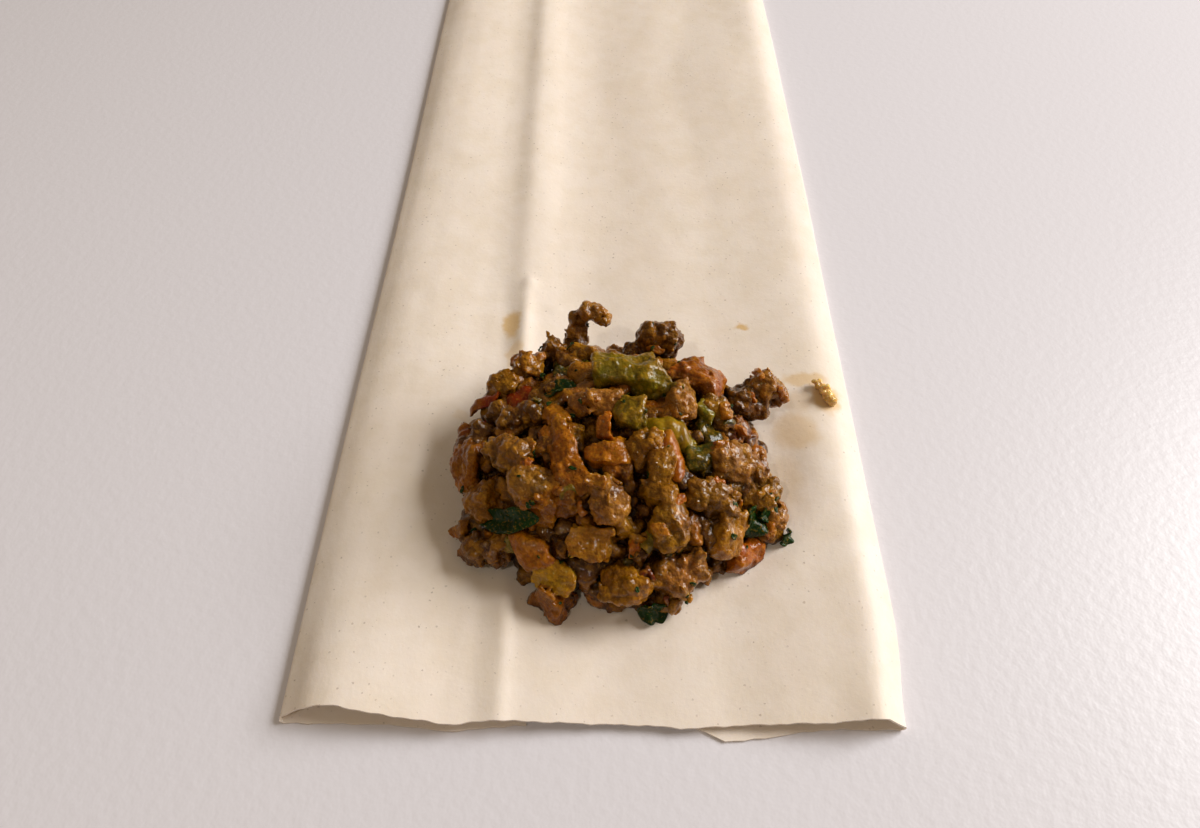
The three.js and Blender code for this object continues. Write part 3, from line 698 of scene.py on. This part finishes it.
class Voxels:
    """Distances to the joined surface of many pieces, on an even grid of points."""

    def __init__(self, kind, low, high):
        self.kind = kind
        self.step = VOXEL[kind]
        self.low = np.array(low, float)
        counts = np.ceil((np.array(high) - self.low) / self.step).astype(int) + 1
        self.distance = np.full(counts, BAND)
        self.owner = np.zeros(counts, int)
        self.bulk = np.ones(counts)
        self.warp = 0
        for size, reach in SWIRLS:
            along = [self.soft_noise(size, SEED + axis) for axis in range(3)]
            self.warp = self.warp + reach * np.stack(along, -1)

    def soft_noise(self, size, seed):
        """Soft noise from -1 to 1 over the grid, with features about size millimetres across."""
        weights = []
        for count in self.distance.shape:
            place = np.arange(count) * self.step / size
            knots = np.arange(int(place[-1]) + 2)
            share = np.clip(1 - np.abs(place[:, None] - knots), 0, 1)
            weights.append(share * share * (3 - 2 * share))
        knot_counts = [weight.shape[1] for weight in weights]
        values = np.random.default_rng(seed).uniform(-1, 1, knot_counts)
        return np.einsum("ai,bj,ck,ijk->abc", *weights, values, optimize=True)

    def places(self, first, last):
        axes = [
            self.low[axis] + self.step * np.arange(first[axis], last[axis]) for axis in range(3)
        ]
        return np.stack(np.meshgrid(*axes, indexing="ij"), -1)

    def add(self, shape, centre, reach, owner, bulk=1.0, blend=0.25):
        """Joins one piece: shape gives the distances at points, reach is how far it goes from its
        centre along X, Y and Z, and bulk is its share of the swirls and of the coarse relief."""
        margin = np.array(reach) + BAND
        first = np.floor((centre - margin - self.low) / self.step).astype(int)
        last = np.ceil((centre + margin - self.low) / self.step).astype(int)
        first = np.maximum(first, 0)
        last = np.minimum(last, self.distance.shape)
        window = tuple(slice(a, b) for a, b in zip(first, last))
        places = self.places(first, last) + bulk * self.warp[window]
        new = shape(places.reshape(-1, 3)).reshape(places.shape[:-1])
        old = self.distance[window]
        self.owner[window] = np.where(new < old, owner, self.owner[window])
        self.bulk[window] = np.where(new < old, bulk, self.bulk[window])
        self.distance[window] = np.minimum(smooth_min(old, new, blend), BAND)

    def roughen(self, seed):
        """Coarse and fine relief, only near the surface."""
        coarse, coarse_height, fine, fine_height = RELIEF[self.kind]
        near = np.abs(self.distance) < 0.85 * BAND
        coarse_height = coarse_height * self.bulk[near]
        points = self.low + self.step * np.argwhere(near)
        if self.kind in GRAINY:
            relief = coarse_height * (grains(points, coarse, seed)[0] ** 2 - 0.35)
        else:
            relief = coarse_height * self.soft_noise(coarse, seed)[near]
        relief += fine_height * (grains(points, fine, seed + 1)[0] ** 2 - 0.35)
        relief += RAGGED[1] * self.soft_noise(RAGGED[0], seed + 2)[near]
        self.distance[near] += relief

    def rest_on_sheet(self):
        nx, ny, nz = self.distance.shape
        plan = self.places((0, 0, 0), (nx, ny, 1))[:, :, 0]
        ground = sheet_top(plan[..., 0], plan[..., 1])
        heights = self.low[2] + self.step * np.arange(nz)
        self.distance = np.maximum(self.distance, ground[..., None] - heights)

    def surface(self):
        """Points, four-cornered faces and the owner of each point."""
        grid = openvdb.FloatGrid(background=BAND)
        grid.copyFromArray(self.distance.astype(np.float32))
        points, _, faces = grid.convertToPolygons(isovalue=0.0, adaptivity=0.0)
        nearest = np.clip(np.round(points).astype(int), 0, np.array(self.owner.shape) - 1)
        owners = self.owner[tuple(nearest.T)]
        return drop_scraps(self.low + self.step * points, faces.astype(int), owners)


def face_areas(points, faces):
    """For each four-cornered face, a vector along its normal, twice its area long."""
    a, b, c, d = (points[faces[:, i]] for i in range(4))
    return np.cross(c - a, d - b)


def drop_scraps(points, faces, owners, least=60):
    """Leaves out specks of fewer than least faces, and hollows closed off inside."""
    label = np.arange(len(points))
    edges = np.concatenate([faces[:, [0, 1]], faces[:, [1, 2]], faces[:, [2, 3]]])
    while True:
        low = label.copy()
        np.minimum.at(low, edges[:, 0], label[edges[:, 1]])
        np.minimum.at(low, edges[:, 1], low[edges[:, 0]])
        low = low[low]
        if (low == label).all():
            break
        label = low
    _, island = np.unique(label[faces[:, 0]], return_inverse=True)
    volume = np.einsum("ij,ij->i", points[faces[:, :2]].sum(1), face_areas(points, faces)) / 12
    sizes = np.bincount(island)
    volumes = np.bincount(island, volume)
    turned = np.sign(volumes[sizes.argmax()])
    kept = ((sizes >= least) & (volumes * turned > 0))[island]
    faces = faces[kept] if turned > 0 else faces[kept][:, ::-1]
    used, again = np.unique(faces, return_inverse=True)
    return points[used], again.reshape(-1, 4), owners[used]


def tone_colour(tone, random):
    colour = np.array(linear(TONES[tone]))
    colour[:3] *= 1 + random.uniform(-TONE_JITTER, TONE_JITTER)
    return colour


def packing(grids):
    """How full the space round each place is, from 0 in the open to 1 inside the pieces: the
    corner of an even grid of places, and the values there."""
    radii = HEAP_RADII + PACKING_MARGIN
    low = np.array([*(HEAP_MIDDLE - radii), PACKING_HEIGHTS[0]])
    high = np.array([*(HEAP_MIDDLE + radii), PACKING_HEIGHTS[1]])
    axes = [np.arange(low[i], high[i], PACKING_STEP) for i in range(3)]
    ground = sheet_top(axes[0][:, None], axes[1][None, :])
    full = (axes[2] < ground[..., None]).astype(float)
    for grid in grids:
        here, there = [], []
        for axis in range(3):
            index = np.round((axes[axis] - grid.low[axis]) / grid.step).astype(int)
            shared = np.flatnonzero((index >= 0) & (index < grid.distance.shape[axis]))
            here.append(shared)
            there.append(index[shared])
        solid = grid.distance[np.ix_(*there)] < 0
        full[np.ix_(*here)] = np.maximum(full[np.ix_(*here)], solid)
    steps = np.arange(-9, 10) * PACKING_STEP / PACKING_REACH
    weights = np.exp(-0.5 * steps**2)
    for axis in range(3):
        full = np.apply_along_axis(np.convolve, axis, full, weights / weights.sum(), "same")
    return low, full


def sampled(low, step, values, points):
    """The values of an even grid at points between its places."""
    place = np.clip((points - low) / step, 0, np.array(values.shape) - 1.001)
    cell = np.floor(place).astype(int)
    return blended(values, cell, place - cell)


def point_normals(points, faces):
    areas = face_areas(points, faces)
    normals = np.zeros_like(points)
    for i in range(4):
        np.add.at(normals, faces[:, i], areas)
    return normals / np.maximum(np.linalg.norm(normals, axis=1, keepdims=True), 1e-9)


def stained(kind, points, colours, packed, normals=(0, 0, 1)):
    """Sauce on the pieces, lighter and darker grains, painted shade between the grains and in the
    gaps, and painted light on the open edges.
    """
    sauciness, contrast, grain_gap_shade, size = COLOURING[kind]
    sauce = np.clip(0.9 * value_noise(points, 2.4, SEED) + 0.35, 0, 1)[:, None] * sauciness
    colours = lerp(colours, np.array(linear(SAUCE)), sauce)
    middle, tint = grains(points, size, SEED + 1)
    pale = (smooth(0.6, 0.95, tint) * contrast)[:, None] * 0.6
    colours = lerp(colours, np.array(linear(PALE_GRAIN_AND_LIGHT)), pale)
    shade = 1 + contrast * (tint - 0.55)
    greener = 0.07 * value_noise(points, 2.8, SEED + 5)
    colours[:, 0] *= 1 - greener
    colours[:, 1] *= 1 + greener
    fullness = sampled(packed[0], PACKING_STEP, packed[1], points + 0.7 * np.array(normals))
    # Painted light: open, jutting edges are made paler.
    edge = smooth(*LIT_EDGE_RANGE, fullness)[:, None] * 0.35
    colours = lerp(colours, np.array(linear(PALE_GRAIN_AND_LIGHT)), edge)
    # Painted shade in the creases between grains, which the relief's grains also shape.
    between = smooth(0.5, 0.9, middle)[:, None] * grain_gap_shade
    # Painted shade in the gaps between pieces: darker the fuller the space round a point is.
    shade_in_gaps = 1 - smooth(*GAP_SHADE_RANGE, fullness)[:, None]
    dark = lerp(1, np.array(PAINTED_GAP_SHADE), np.maximum(0.6 * between, shade_in_gaps))
    colours[:, :3] *= shade[:, None] * dark * DEPTH
    return colours


def add_pieces(voxels, pieces, random):
    """Joins the pieces to the voxels, and gives the colour of each."""
    colours = []
    for number, (shape, x, y, z, *size, turn, tone) in enumerate(pieces):
        centre = np.array([x, y, z])
        axes = piece_axes(x, y, turn)
        form = SHAPES[shape]
        draws = random.integers(1 << 30)

        def distance(points):
            return form((points - centre) @ axes.T, size, np.random.default_rng(draws))

        reach = np.abs(axes.T) @ size * 0.55 + 0.5
        bulk = STRAND_BULK if shape == "strand" else min(1, 0.35 + size[2] / 6)
        voxels.add(distance, centre, reach, number, bulk)
        colours.append(tone_colour(tone, random))
    return np.array(colours)


def joined_pieces(kind, pieces, voxels=None):
    """One closed surface round all pieces of a kind: its voxels, points, faces and colours."""
    if voxels is None:
        centres = np.array([piece[1:4] for piece in pieces])
        room = max(piece[4] for piece in pieces) / 2 + 2
        low = centres.min(0) - room
        low[2] = 0
        voxels = Voxels(kind, low, centres.max(0) + room)
    colours = add_pieces(voxels, pieces, np.random.default_rng(SEED + len(kind)))
    voxels.roughen(SEED)
    voxels.rest_on_sheet()
    points, faces, owners = voxels.surface()
    colours = colours[owners]
    if kind in FIBRES:
        colours[:, :3] *= fibres(kind, pieces, points, owners)[:, None]
    return voxels, points, faces, colours


def fibres(kind, pieces, points, owners):
    """Lighter and darker lines along each cut piece."""
    spacing, strength = FIBRES[kind]
    wander = value_noise(points, 1.7, SEED)
    light = np.ones(len(points))
    for number, (_, x, y, z, *_, turn, _) in enumerate(pieces):
        mine = owners == number
        _, across, deep = ((points[mine] - (x, y, z)) @ piece_axes(x, y, turn).T).T
        phase = 2 * math.pi * (across + 0.4 * deep) / spacing + 4 * wander[mine]
        light[mine] += strength * np.sin(phase)
    return light


def bed_crumbs():
    """Small crumbs that fill the gaps between the larger pieces."""
    random = np.random.default_rng(SEED)
    crumbs = []
    for _ in range(BED_CRUMBS):
        reach = 0.98 * math.sqrt(random.random())
        angle = random.uniform(0, 2 * math.pi)
        x, y = heap_place(reach, angle, 2)
        length = random.uniform(*BED_CRUMB_SIZE)
        depth = random.uniform(*BED_CRUMB_DEPTH)
        z = max(0.35 * length + 0.8, 1 + heap_height(reach) - depth)
        width = length * random.uniform(0.6, 0.95)
        turn = random.uniform(0, 180)
        tone = random.choice(CRUMB_TONES)
        crumbs.append(("mince", x, y, z, length, width, 0.8 * width, turn, tone))
    return crumbs


def mince_bed(pieces):
    """The saucy base that the larger pieces lie in, with the smaller crumbs on it."""
    radii = HEAP_RADII - CORE_INSET
    tall = HEAP_HEIGHT - CORE_DROP
    middle = np.array([*HEAP_MIDDLE, 0])
    room = np.array([*(radii + 5), 0])
    voxels = Voxels("mince_bed", middle - room, middle + room + (0, 0, tall + 5))

    def base(points):
        x, y, z = (points - middle - (0, 0, 1)).T
        plan = np.hypot(x / radii[0], y / radii[1])
        above = z - tall * dome(plan)
        return np.clip(np.maximum(above * 0.6, (plan - 1) * radii[1]), -BAND, BAND)

    voxels.add(base, middle, (*radii, tall + 1), 0)
    return joined_pieces("mince_bed", [*pieces, *bed_crumbs()], voxels)


# ---- Leaves and skins: thin wavy sheets
def leaf_grid(kind, length, width, random, counts=LEAF_GRID):
    across = np.linspace(-1, 1, counts[0])[:, None]
    along = np.linspace(-1, 1, counts[1])[None, :]
    phase = random.uniform(0, 2 * math.pi, 4)
    outline = np.maximum(1 - np.abs(along) ** 3, 0.01) ** 0.6
    if kind == "leaf":
        outline = outline * (1 + 0.05 * np.cos(9 * along + phase[0]))
        ruffle = 0.1 * width * np.sin(6 * along + phase[1]) * across**2
        ribs = 0.07 * min(width, 3) * np.abs(np.sin(length * 1.3 * along + 2 * across + phase[2]))
        cup = 0.22 * width * np.abs(across)
    else:
        ruffle = 0.1 * width * np.sin(4 * along + phase[1]) * across
        ribs = 0.04 * width * np.sin(11 * along + 3 * across + phase[2])
        cup = -0.35 * width * across**2
    bend = -0.1 * length * along**2 + 0.05 * length * np.sin(3 * along + phase[3])
    x = along * length / 2 + 0 * across
    y = across * outline * width / 2 + 0.08 * width * np.sin(3.1 * along + phase[3])
    return np.stack([x, y, ruffle + ribs + cup * outline + bend], -1)


def joined(parts):
    """One list of points, faces and colours from the lists of many bodies."""
    points, faces, colours = zip(*parts)
    starts = np.cumsum([0, *(len(body) for body in points[:-1])])
    faces = [body + start for body, start in zip(faces, starts)]
    return np.concatenate(points), np.concatenate(faces), np.concatenate(colours)


def leaves(kind, random, packed=None):
    parts = []
    for piece in PIECES:
        if piece[0] == kind:
            _, x, y, z, length, width, _, turn, tone = piece
            grid = leaf_grid(kind, 1.1 * length, 1.2 * width, random)
            local, faces = closed_sheet(grid, THIN[kind])
            points = local @ piece_axes(x, y, turn) + (x, y, z + 0.4)
            least = sheet_top(points[:, 0], points[:, 1]) + 0.05
            points[:, 2] = np.maximum(points[:, 2], least)
            colours = thin_colours(points, tone, random)
            if kind == "skin":
                colours = stained(kind, points, colours, packed)
            parts.append((points, faces, colours))
    return parts


def thin_colours(points, tone, random):
    colours = np.tile(tone_colour(tone, random), (len(points), 1))
    patches = 1 + 0.45 * value_noise(points, 1.3, SEED)
    colours[:, :3] *= patches[:, None]
    return colours


def herb_flecks(surfaces, random):
    """Small bits of herb that lie on the other pieces."""
    places = np.concatenate([points for points, _ in surfaces])
    normals = np.concatenate([normal for _, normal in surfaces])
    usable = np.flatnonzero((normals[:, 2] > 0.1) & (places[:, 2] > BIT_HEIGHT))
    parts = []
    for index in random.choice(usable, FLECKS, replace=False):
        size = lerp(*FLECK_SIZE, random.random() ** 1.5)
        grid = leaf_grid("leaf", size, size * random.uniform(0.4, 0.8), random, FLECK_GRID)
        local, faces = closed_sheet(grid, FLECK_THICKNESS)
        normal = normals[index]
        side = np.cross(normal, unit(random))
        side /= np.linalg.norm(side)
        axes = np.stack([side, np.cross(normal, side), normal])
        points = local @ axes + places[index] + 0.05 * normal
        parts.append((points, faces, thin_colours(points, "herb", random)))
    return parts


def loose_crumb():
    """The crumb that lies by itself on the sheet, at the right of the heap."""
    x, y = CRUMB_PLACE
    z = float(sheet_top(x, y)) + 0.5
    pieces = [
        ("onion", x, y, z, 3.8, 2.2, 1.6, 105, "crumb"),
        ("onion", x + 0.7, y - 1.5, z, 2.6, 2, 1.4, 60, "crumb"),
        ("onion", x - 0.9, y + 1.6, z, 2, 1.4, 1.2, 20, "crumb"),
    ]
    return joined_pieces("onion", pieces)[1:]


# ---- Making objects
def in_scene(name, data):
    made = bpy.data.objects.new(name, data)
    bpy.context.scene.collection.objects.link(made)
    return made


def make_object(name, points, faces, colours=None):
    mesh = bpy.data.meshes.new(name)
    mesh.from_pydata((points * MM).tolist(), [], faces.tolist())
    mesh.polygons.foreach_set("use_smooth", np.ones(len(faces), bool))
    if colours is not None:
        attribute = mesh.attributes.new("tone", "FLOAT_COLOR", "POINT")
        attribute.data.foreach_set("color", colours.astype(np.float32).ravel())
    mesh.update()
    return in_scene(name, mesh)


# ---- Materials
def node(tree, kind, inputs, **settings):
    """A new node. Inputs that are given as sockets are linked, and the others are set."""
    made = tree.nodes.new("ShaderNode" + kind)
    for name, value in settings.items():
        setattr(made, name, value)
    for name, value in inputs.items():
        if isinstance(value, bpy.types.NodeSocket):
            tree.links.new(value, made.inputs[name])
        else:
            made.inputs[name].default_value = value
    return made


def calculate(tree, operation, first, second):
    return node(tree, "Math", {0: first, 1: second}, operation=operation).outputs[0]


def product(tree, first, second):
    return calculate(tree, "MULTIPLY", first, second)


def vector(tree, operation, *values):
    return node(tree, "VectorMath", dict(enumerate(values)), operation=operation).outputs


def mixed(tree, factor, first, second, blend="MIX"):
    inputs = {0: factor, 6: first, 7: second}
    return node(tree, "Mix", inputs, data_type="RGBA", blend_type=blend).outputs[2]


def ramp(tree, value, low, high):
    """0 below low and 1 above high."""
    inputs = {"Value": value, "From Min": low, "From Max": high}
    return node(tree, "MapRange", inputs, interpolation_type="SMOOTHSTEP").outputs[0]


def spread(tree, value, low, high):
    """low where the value is 0 and high where it is 1."""
    inputs = {"Value": value, "To Min": low, "To Max": high}
    return node(tree, "MapRange", inputs).outputs[0]


def bumpy(tree, height, strength, distance):
    """Normals for a height, of which 1 stands for distance in millimetres."""
    inputs = {"Height": height, "Strength": strength, "Distance": distance * MM}
    return node(tree, "Bump", inputs).outputs[0]


def millimetres(tree):
    place = node(tree, "TexCoord", {}).outputs["Object"]
    scale = (1 / MM, 1 / MM, 1 / MM)
    return node(tree, "Mapping", {"Vector": place, "Scale": scale}).outputs[0]


def noise(tree, place, size, detail=3.0, roughness=0.55):
    """Noise from 0 to 1 with features about size millimetres across."""
    inputs = {"Vector": place, "Scale": 1 / size, "Detail": detail, "Roughness": roughness}
    return node(tree, "TexNoise", inputs).outputs[0]


def material(name, inputs_of, *settings):
    """A material whose shader has the inputs that inputs_of gives for a tree and its places."""
    made = bpy.data.materials.new(name)
    made.use_nodes = True
    tree = made.node_tree
    tree.nodes.clear()
    shader = node(tree, "BsdfPrincipled", inputs_of(tree, millimetres(tree), *settings))
    node(tree, "OutputMaterial", {"Surface": shader.outputs[0]})
    return made


# Kind of food: roughness, subsurface, its radii in millimetres, mottling, relief in
# millimetres, its size, coat.
FOODS = {
    "meat": (0.45, 0.3, (1.2, 0.75, 0.1), 0.55, 0.24, 0.45, 1.0),
    "onion": (0.4, 0.45, (1.9, 1.3, 0.12), 0.5, 0.2, 0.45, 1.0),
    "pepper": (0.4, 0.3, (1.4, 1.2, 0.12), 0.4, 0.14, 0.45, 1.0),
    "skin": (0.28, 0.25, (1.6, 0.6, 0.2), 0.4, 0.06, 0.5, 0.8),
    "herb": (0.45, 0.1, (0.6, 0.9, 0.3), 0.4, 0.12, 0.35, 0.45),
}
WET = 0.13  # relief of the wet film, in millimetres


def food_colour(tree, place, fine, mottling):
    """The points' tones, with darker patches, and with darker specks and paler grains that follow
    the fine relief: painted shade in its pits and painted light on its tops.
    """
    tone = node(tree, "Attribute", {}, attribute_name="tone").outputs["Color"]
    wide = noise(tree, place, 2.2)
    darker = mixed(tree, 1.0, tone, (0.58, 0.45, 0.28, 1), "MULTIPLY")
    paler = mixed(tree, 0.5, tone, linear(PALE_GRAIN_AND_LIGHT))
    wide_dark = product(tree, ramp(tree, wide, 0.45, 0.65), mottling)
    # Painted shade in the pits of the fine relief and painted light on its tops, along with darker
    # specks and paler grains.
    pit_shade_and_specks = product(tree, ramp(tree, fine, 0.47, 0.31), 0.5)
    dark_share = calculate(tree, "MAXIMUM", wide_dark, pit_shade_and_specks)
    lit_tops_and_pale_grains = product(tree, ramp(tree, fine, 0.52, 0.7), 0.6)
    return mixed(tree, lit_tops_and_pale_grains, mixed(tree, dark_share, tone, darker), paler)


def food_inputs(tree, place, roughness, inside, radii, mottling, height, size, coat):
    fine = noise(tree, place, 0.42, 4.0)
    cells = node(tree, "TexVoronoi", {"Vector": place, "Scale": 1 / size}).outputs["Distance"]
    relief = calculate(tree, "SUBTRACT", fine, product(tree, cells, 0.6))
    return {
        "Base Color": food_colour(tree, place, fine, mottling),
        "Roughness": spread(tree, fine, roughness * 0.6, roughness * 1.3),
        "Specular IOR Level": 0.05,
        "Subsurface Weight": inside,
        "Subsurface Radius": [r * MM for r in radii],
        "Subsurface Scale": 1.0,
        "Coat Weight": coat,
        "Coat Roughness": 0.03,
        "Coat IOR": 1.37,
        "Normal": bumpy(tree, relief, 1.0, height),
        "Coat Normal": bumpy(tree, noise(tree, place, 0.55), 1.0, WET),
    }


# Oil stains on the sheet: X, Y, radii across and along, strength.
STAINS = [
    (-15.6, -80, 1.6, 3.4, 0.75),
    (-14.6, -87, 1.4, 3.0, 0.45),
    (23.6, -80, 1.3, 0.7, 0.8),
    (32.5, -92.5, 4.0, 1.5, 0.55),
    (35.6, -96.5, 2.4, 3.2, 0.8),
    (31, -97, 2.6, 2.2, 0.25),
    (30, -103, 3.6, 3.8, 0.42),
    (-22.4, -99.7, 1.2, 1.0, 0.2),
    (27, -112, 3.0, 5.0, 0.22),
]
STAIN_WARP = 2.4  # how far they are bent out of round
STAIN_EDGE = (1.25, 0.55)  # shares of the radii at which a stain ends, and at which it is full


def specked(tree, place, colour):
    """Fine brown specks of bran, each of its own size and strength."""
    wobble = node(tree, "TexNoise", {"Vector": place, "Scale": 4.0}).outputs["Color"]
    rough_place = vector(tree, "MULTIPLY_ADD", wobble, (0.3, 0.3, 0.3), place)[0]
    cells = node(tree, "TexVoronoi", {"Vector": rough_place, "Scale": 1.0})
    chance = node(tree, "SeparateColor", {0: cells.outputs["Color"]}).outputs
    size = spread(tree, chance[1], 0.05, 0.17)
    inside = calculate(tree, "LESS_THAN", cells.outputs["Distance"], size)
    kept = calculate(tree, "GREATER_THAN", chance[0], 0.2)
    strength = spread(tree, chance[2], 0.08, 0.42)
    share = product(tree, product(tree, inside, kept), strength)
    return mixed(tree, share, colour, linear(BRAN))


def oiled(tree, place, colour):
    """Soft-edged yellowish oil stains, bent out of round."""
    warp = node(tree, "TexNoise", {"Vector": place, "Scale": 0.5, "Detail": 3.0}).outputs["Color"]
    warped = vector(tree, "MULTIPLY_ADD", warp, (STAIN_WARP, STAIN_WARP, 0), place)[0]
    for x, y, across, along, strength in STAINS:
        middle = (x + STAIN_WARP / 2, y + STAIN_WARP / 2, 1)
        offset = vector(tree, "SUBTRACT", warped, middle)[0]
        shares = vector(tree, "MULTIPLY", offset, (1 / across, 1 / along, 0))[0]
        reach = vector(tree, "LENGTH", shares)["Value"]
        amount = product(tree, ramp(tree, reach, *STAIN_EDGE), strength)
        colour = mixed(tree, amount, colour, linear(OIL))
    return colour


def dough_colour(tree, place):
    """Off-white dough, mottled, and a little darker where a single layer lies on the floor."""
    colour = mixed(tree, noise(tree, place, 16), linear(DOUGH), linear(DARKER_DOUGH))
    mottle = ramp(tree, noise(tree, place, 5.0, 6.0), 0.35, 0.7)
    colour = mixed(tree, product(tree, mottle, 0.4), colour, linear(DOUGH_MOTTLES))
    across = node(tree, "SeparateXYZ", {0: place}).outputs[0]
    single = product(tree, ramp(tree, across, -15, -10), ramp(tree, across, 16, 8))
    return mixed(tree, product(tree, single, 0.15), colour, linear(SINGLE_LAYER))


def pastry_inputs(tree, place):
    fine = noise(tree, place, 0.7, 5.0, 0.65)
    wide = noise(tree, place, 3.0, 3.0)
    relief = calculate(tree, "ADD", fine, product(tree, wide, 2.0))
    return {
        "Base Color": oiled(tree, place, specked(tree, place, dough_colour(tree, place))),
        "Roughness": 0.55,
        "Specular IOR Level": 0.35,
        "Subsurface Weight": 0.12,
        "Subsurface Radius": [2.0 * MM, 1.4 * MM, 0.9 * MM],
        "Subsurface Scale": 1.0,
        "Normal": bumpy(tree, relief, 0.5, 0.06),
    }


def floor_inputs(tree, place):
    return {
        "Base Color": linear(FLOOR_COLOUR),
        "Roughness": 0.38,
        "Specular IOR Level": 0.6,
        "Normal": bumpy(tree, noise(tree, place, 1.6, 2.0), 0.4, 0.14),
    }


# ---- Putting the food together
def dress(piece, finish, replaced=None):
    piece.data.materials.append(finish)
    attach(piece, "root")
    if replaced:
        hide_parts(replaced)


def pastry(shift):
    points, faces = closed_sheet(folded_sheet(), SHEET)
    made = make_object("pastry_sheet", points + shift, faces)
    made.data.set_sharp_from_angle(angle=SHARP_ANGLE)
    dress(made, material("raw_pastry", pastry_inputs), "pastry_strip")


def shreds(points, normals, random):
    """Small cut pieces that lie on the mince."""
    _, y, z = points.T
    usable = np.flatnonzero((normals[:, 2] > 0) & (z > BIT_HEIGHT) & (y < SHRED_BACK))
    pieces = []
    for kind, count in SHREDS.items():
        for index in random.choice(usable, count, replace=False):
            length = random.uniform(*SHRED_SIZE)
            width = length * random.uniform(0.35, 0.7)
            turn = random.uniform(0, 180)
            tone = random.choice(SHRED_TONES[kind])
            place = points[index] - 0.2 * normals[index]
            pieces.append((kind, *place, length, width, 0.6 * width, turn, tone))
    return pieces


def heaped_bodies(random):
    """For each kind of piece: its voxels, points, faces and colours."""
    named = [piece for piece in PIECES if piece[0] not in THIN]
    small = [*fill_pieces(), *bed_pieces()]
    bodies = {"mince_bed": mince_bed([p for p in small if p[0] == "mince"])}
    bodies["mince"] = joined_pieces("mince", [p for p in named if p[0] in ("mince", "strand")])
    _, points, faces, _ = bodies["mince"]
    small += shreds(points, point_normals(points, faces), random)
    for kind in ("onion", "pepper"):
        pieces = [piece for piece in [*named, *small] if piece[0] == kind]
        bodies[kind] = joined_pieces(kind, pieces)
    return bodies


FOOD_OF = {"mince_bed": "meat", "mince": "meat", "onion": "onion", "pepper": "pepper"}


def filling(shift):
    random = np.random.default_rng(SEED)
    materials = {food: material(food, food_inputs, *FOODS[food]) for food in FOODS}

    def serve(name, food, points, faces, colours, replaced="filling"):
        made = make_object(name, points + shift, faces, colours)
        dress(made, materials[food], replaced)

    bodies = heaped_bodies(random)
    packed = packing([body[0] for body in bodies.values()])
    surfaces = []
    for name, (_, points, faces, colours) in bodies.items():
        normals = point_normals(points, faces)
        colours = stained(name, points, colours, packed, normals)
        serve(name, FOOD_OF[name], points, faces, colours)
        surfaces.append((points, normals))
    serve("skins", "skin", *joined(leaves("skin", random, packed)))
    herbs = [*leaves("leaf", random), *herb_flecks(surfaces, random)]
    serve("herb_leaves", "herb", *joined(herbs))
    serve("loose_crumb", "onion", *loose_crumb(), replaced=None)


def centring():
    """From the strip's own axes to the frame, whose origin is the bottom centre of the whole."""
    low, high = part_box("pastry_strip")
    middle = np.array((low + high) / 2) / MM
    grid = folded_sheet()
    own = (grid.min((0, 1)) + grid.max((0, 1))) / 2
    return np.array([*(middle - own)[:2], 0])


# ---- Floor, light and camera
CAMERA_PLACE = (0.61, -189.0, 111.8)
CAMERA_TILT = 50.87  # degrees down from level
CAMERA_TURN = 0.58
LENS = 27
SENSOR = 36
FLOOR_SIZE = 6000
# Lights, in metres and watts. The window is large and soft, and the lamp gives small glints.
LIT_PLACE = Vector((0, -0.09, 0))
WINDOW_WAY = (18, 32)  # degrees round from +X towards +Y, and up
WINDOW_DISTANCE = 1.15
WINDOW = {"size": 0.6, "energy": 17.8, "color": (1.0, 0.99, 0.98)}
LAMP_PLACE = Vector((-0.25, -0.55, 0.75))
LAMP = {"size": 0.035, "energy": 1.0, "color": (1.0, 0.95, 0.88)}
ROOM = {"Color": (1.0, 0.76, 0.48, 1), "Strength": 0.21}


def stage_floor():
    corners = np.array([(-1, -1, 0), (1, -1, 0), (1, 1, 0), (-1, 1, 0)]) * FLOOR_SIZE / 2
    made = make_object("floor", corners, np.array([(0, 1, 2, 3)]))
    made.data.materials.append(material("pale_floor", floor_inputs))


def area_light(name, place, settings):
    data = bpy.data.lights.new(name, "AREA")
    data.shape = "SQUARE"
    for setting, value in settings.items():
        setattr(data, setting, value)
    made = in_scene(name, data)
    made.location = place
    made.rotation_euler = (LIT_PLACE - place).to_track_quat("-Z", "Y").to_euler()


def lights():
    around, up = (math.radians(angle) for angle in WINDOW_WAY)
    level = math.cos(up)
    way = Vector((level * math.cos(around), level * math.sin(around), math.sin(up)))
    area_light("window", LIT_PLACE + way * WINDOW_DISTANCE, WINDOW)
    area_light("lamp", LAMP_PLACE, LAMP)
    world = bpy.data.worlds.new("studio")
    world.use_nodes = True
    for setting, value in ROOM.items():
        world.node_tree.nodes["Background"].inputs[setting].default_value = value
    bpy.context.scene.world = world
    bpy.context.scene.view_settings.view_transform = "Standard"


def camera(shift):
    data = bpy.data.cameras.new("camera")
    data.lens = LENS
    data.sensor_width = SENSOR
    data.clip_start = 0.01
    made = in_scene("camera", data)
    made.location = Vector(np.array(CAMERA_PLACE) + shift) * MM
    made.rotation_euler = (math.radians(90 - CAMERA_TILT), 0, math.radians(CAMERA_TURN))
    bpy.context.scene.camera = made


shift = centring()
camera(shift)
lights()
stage_floor()
pastry(shift)
filling(shift)
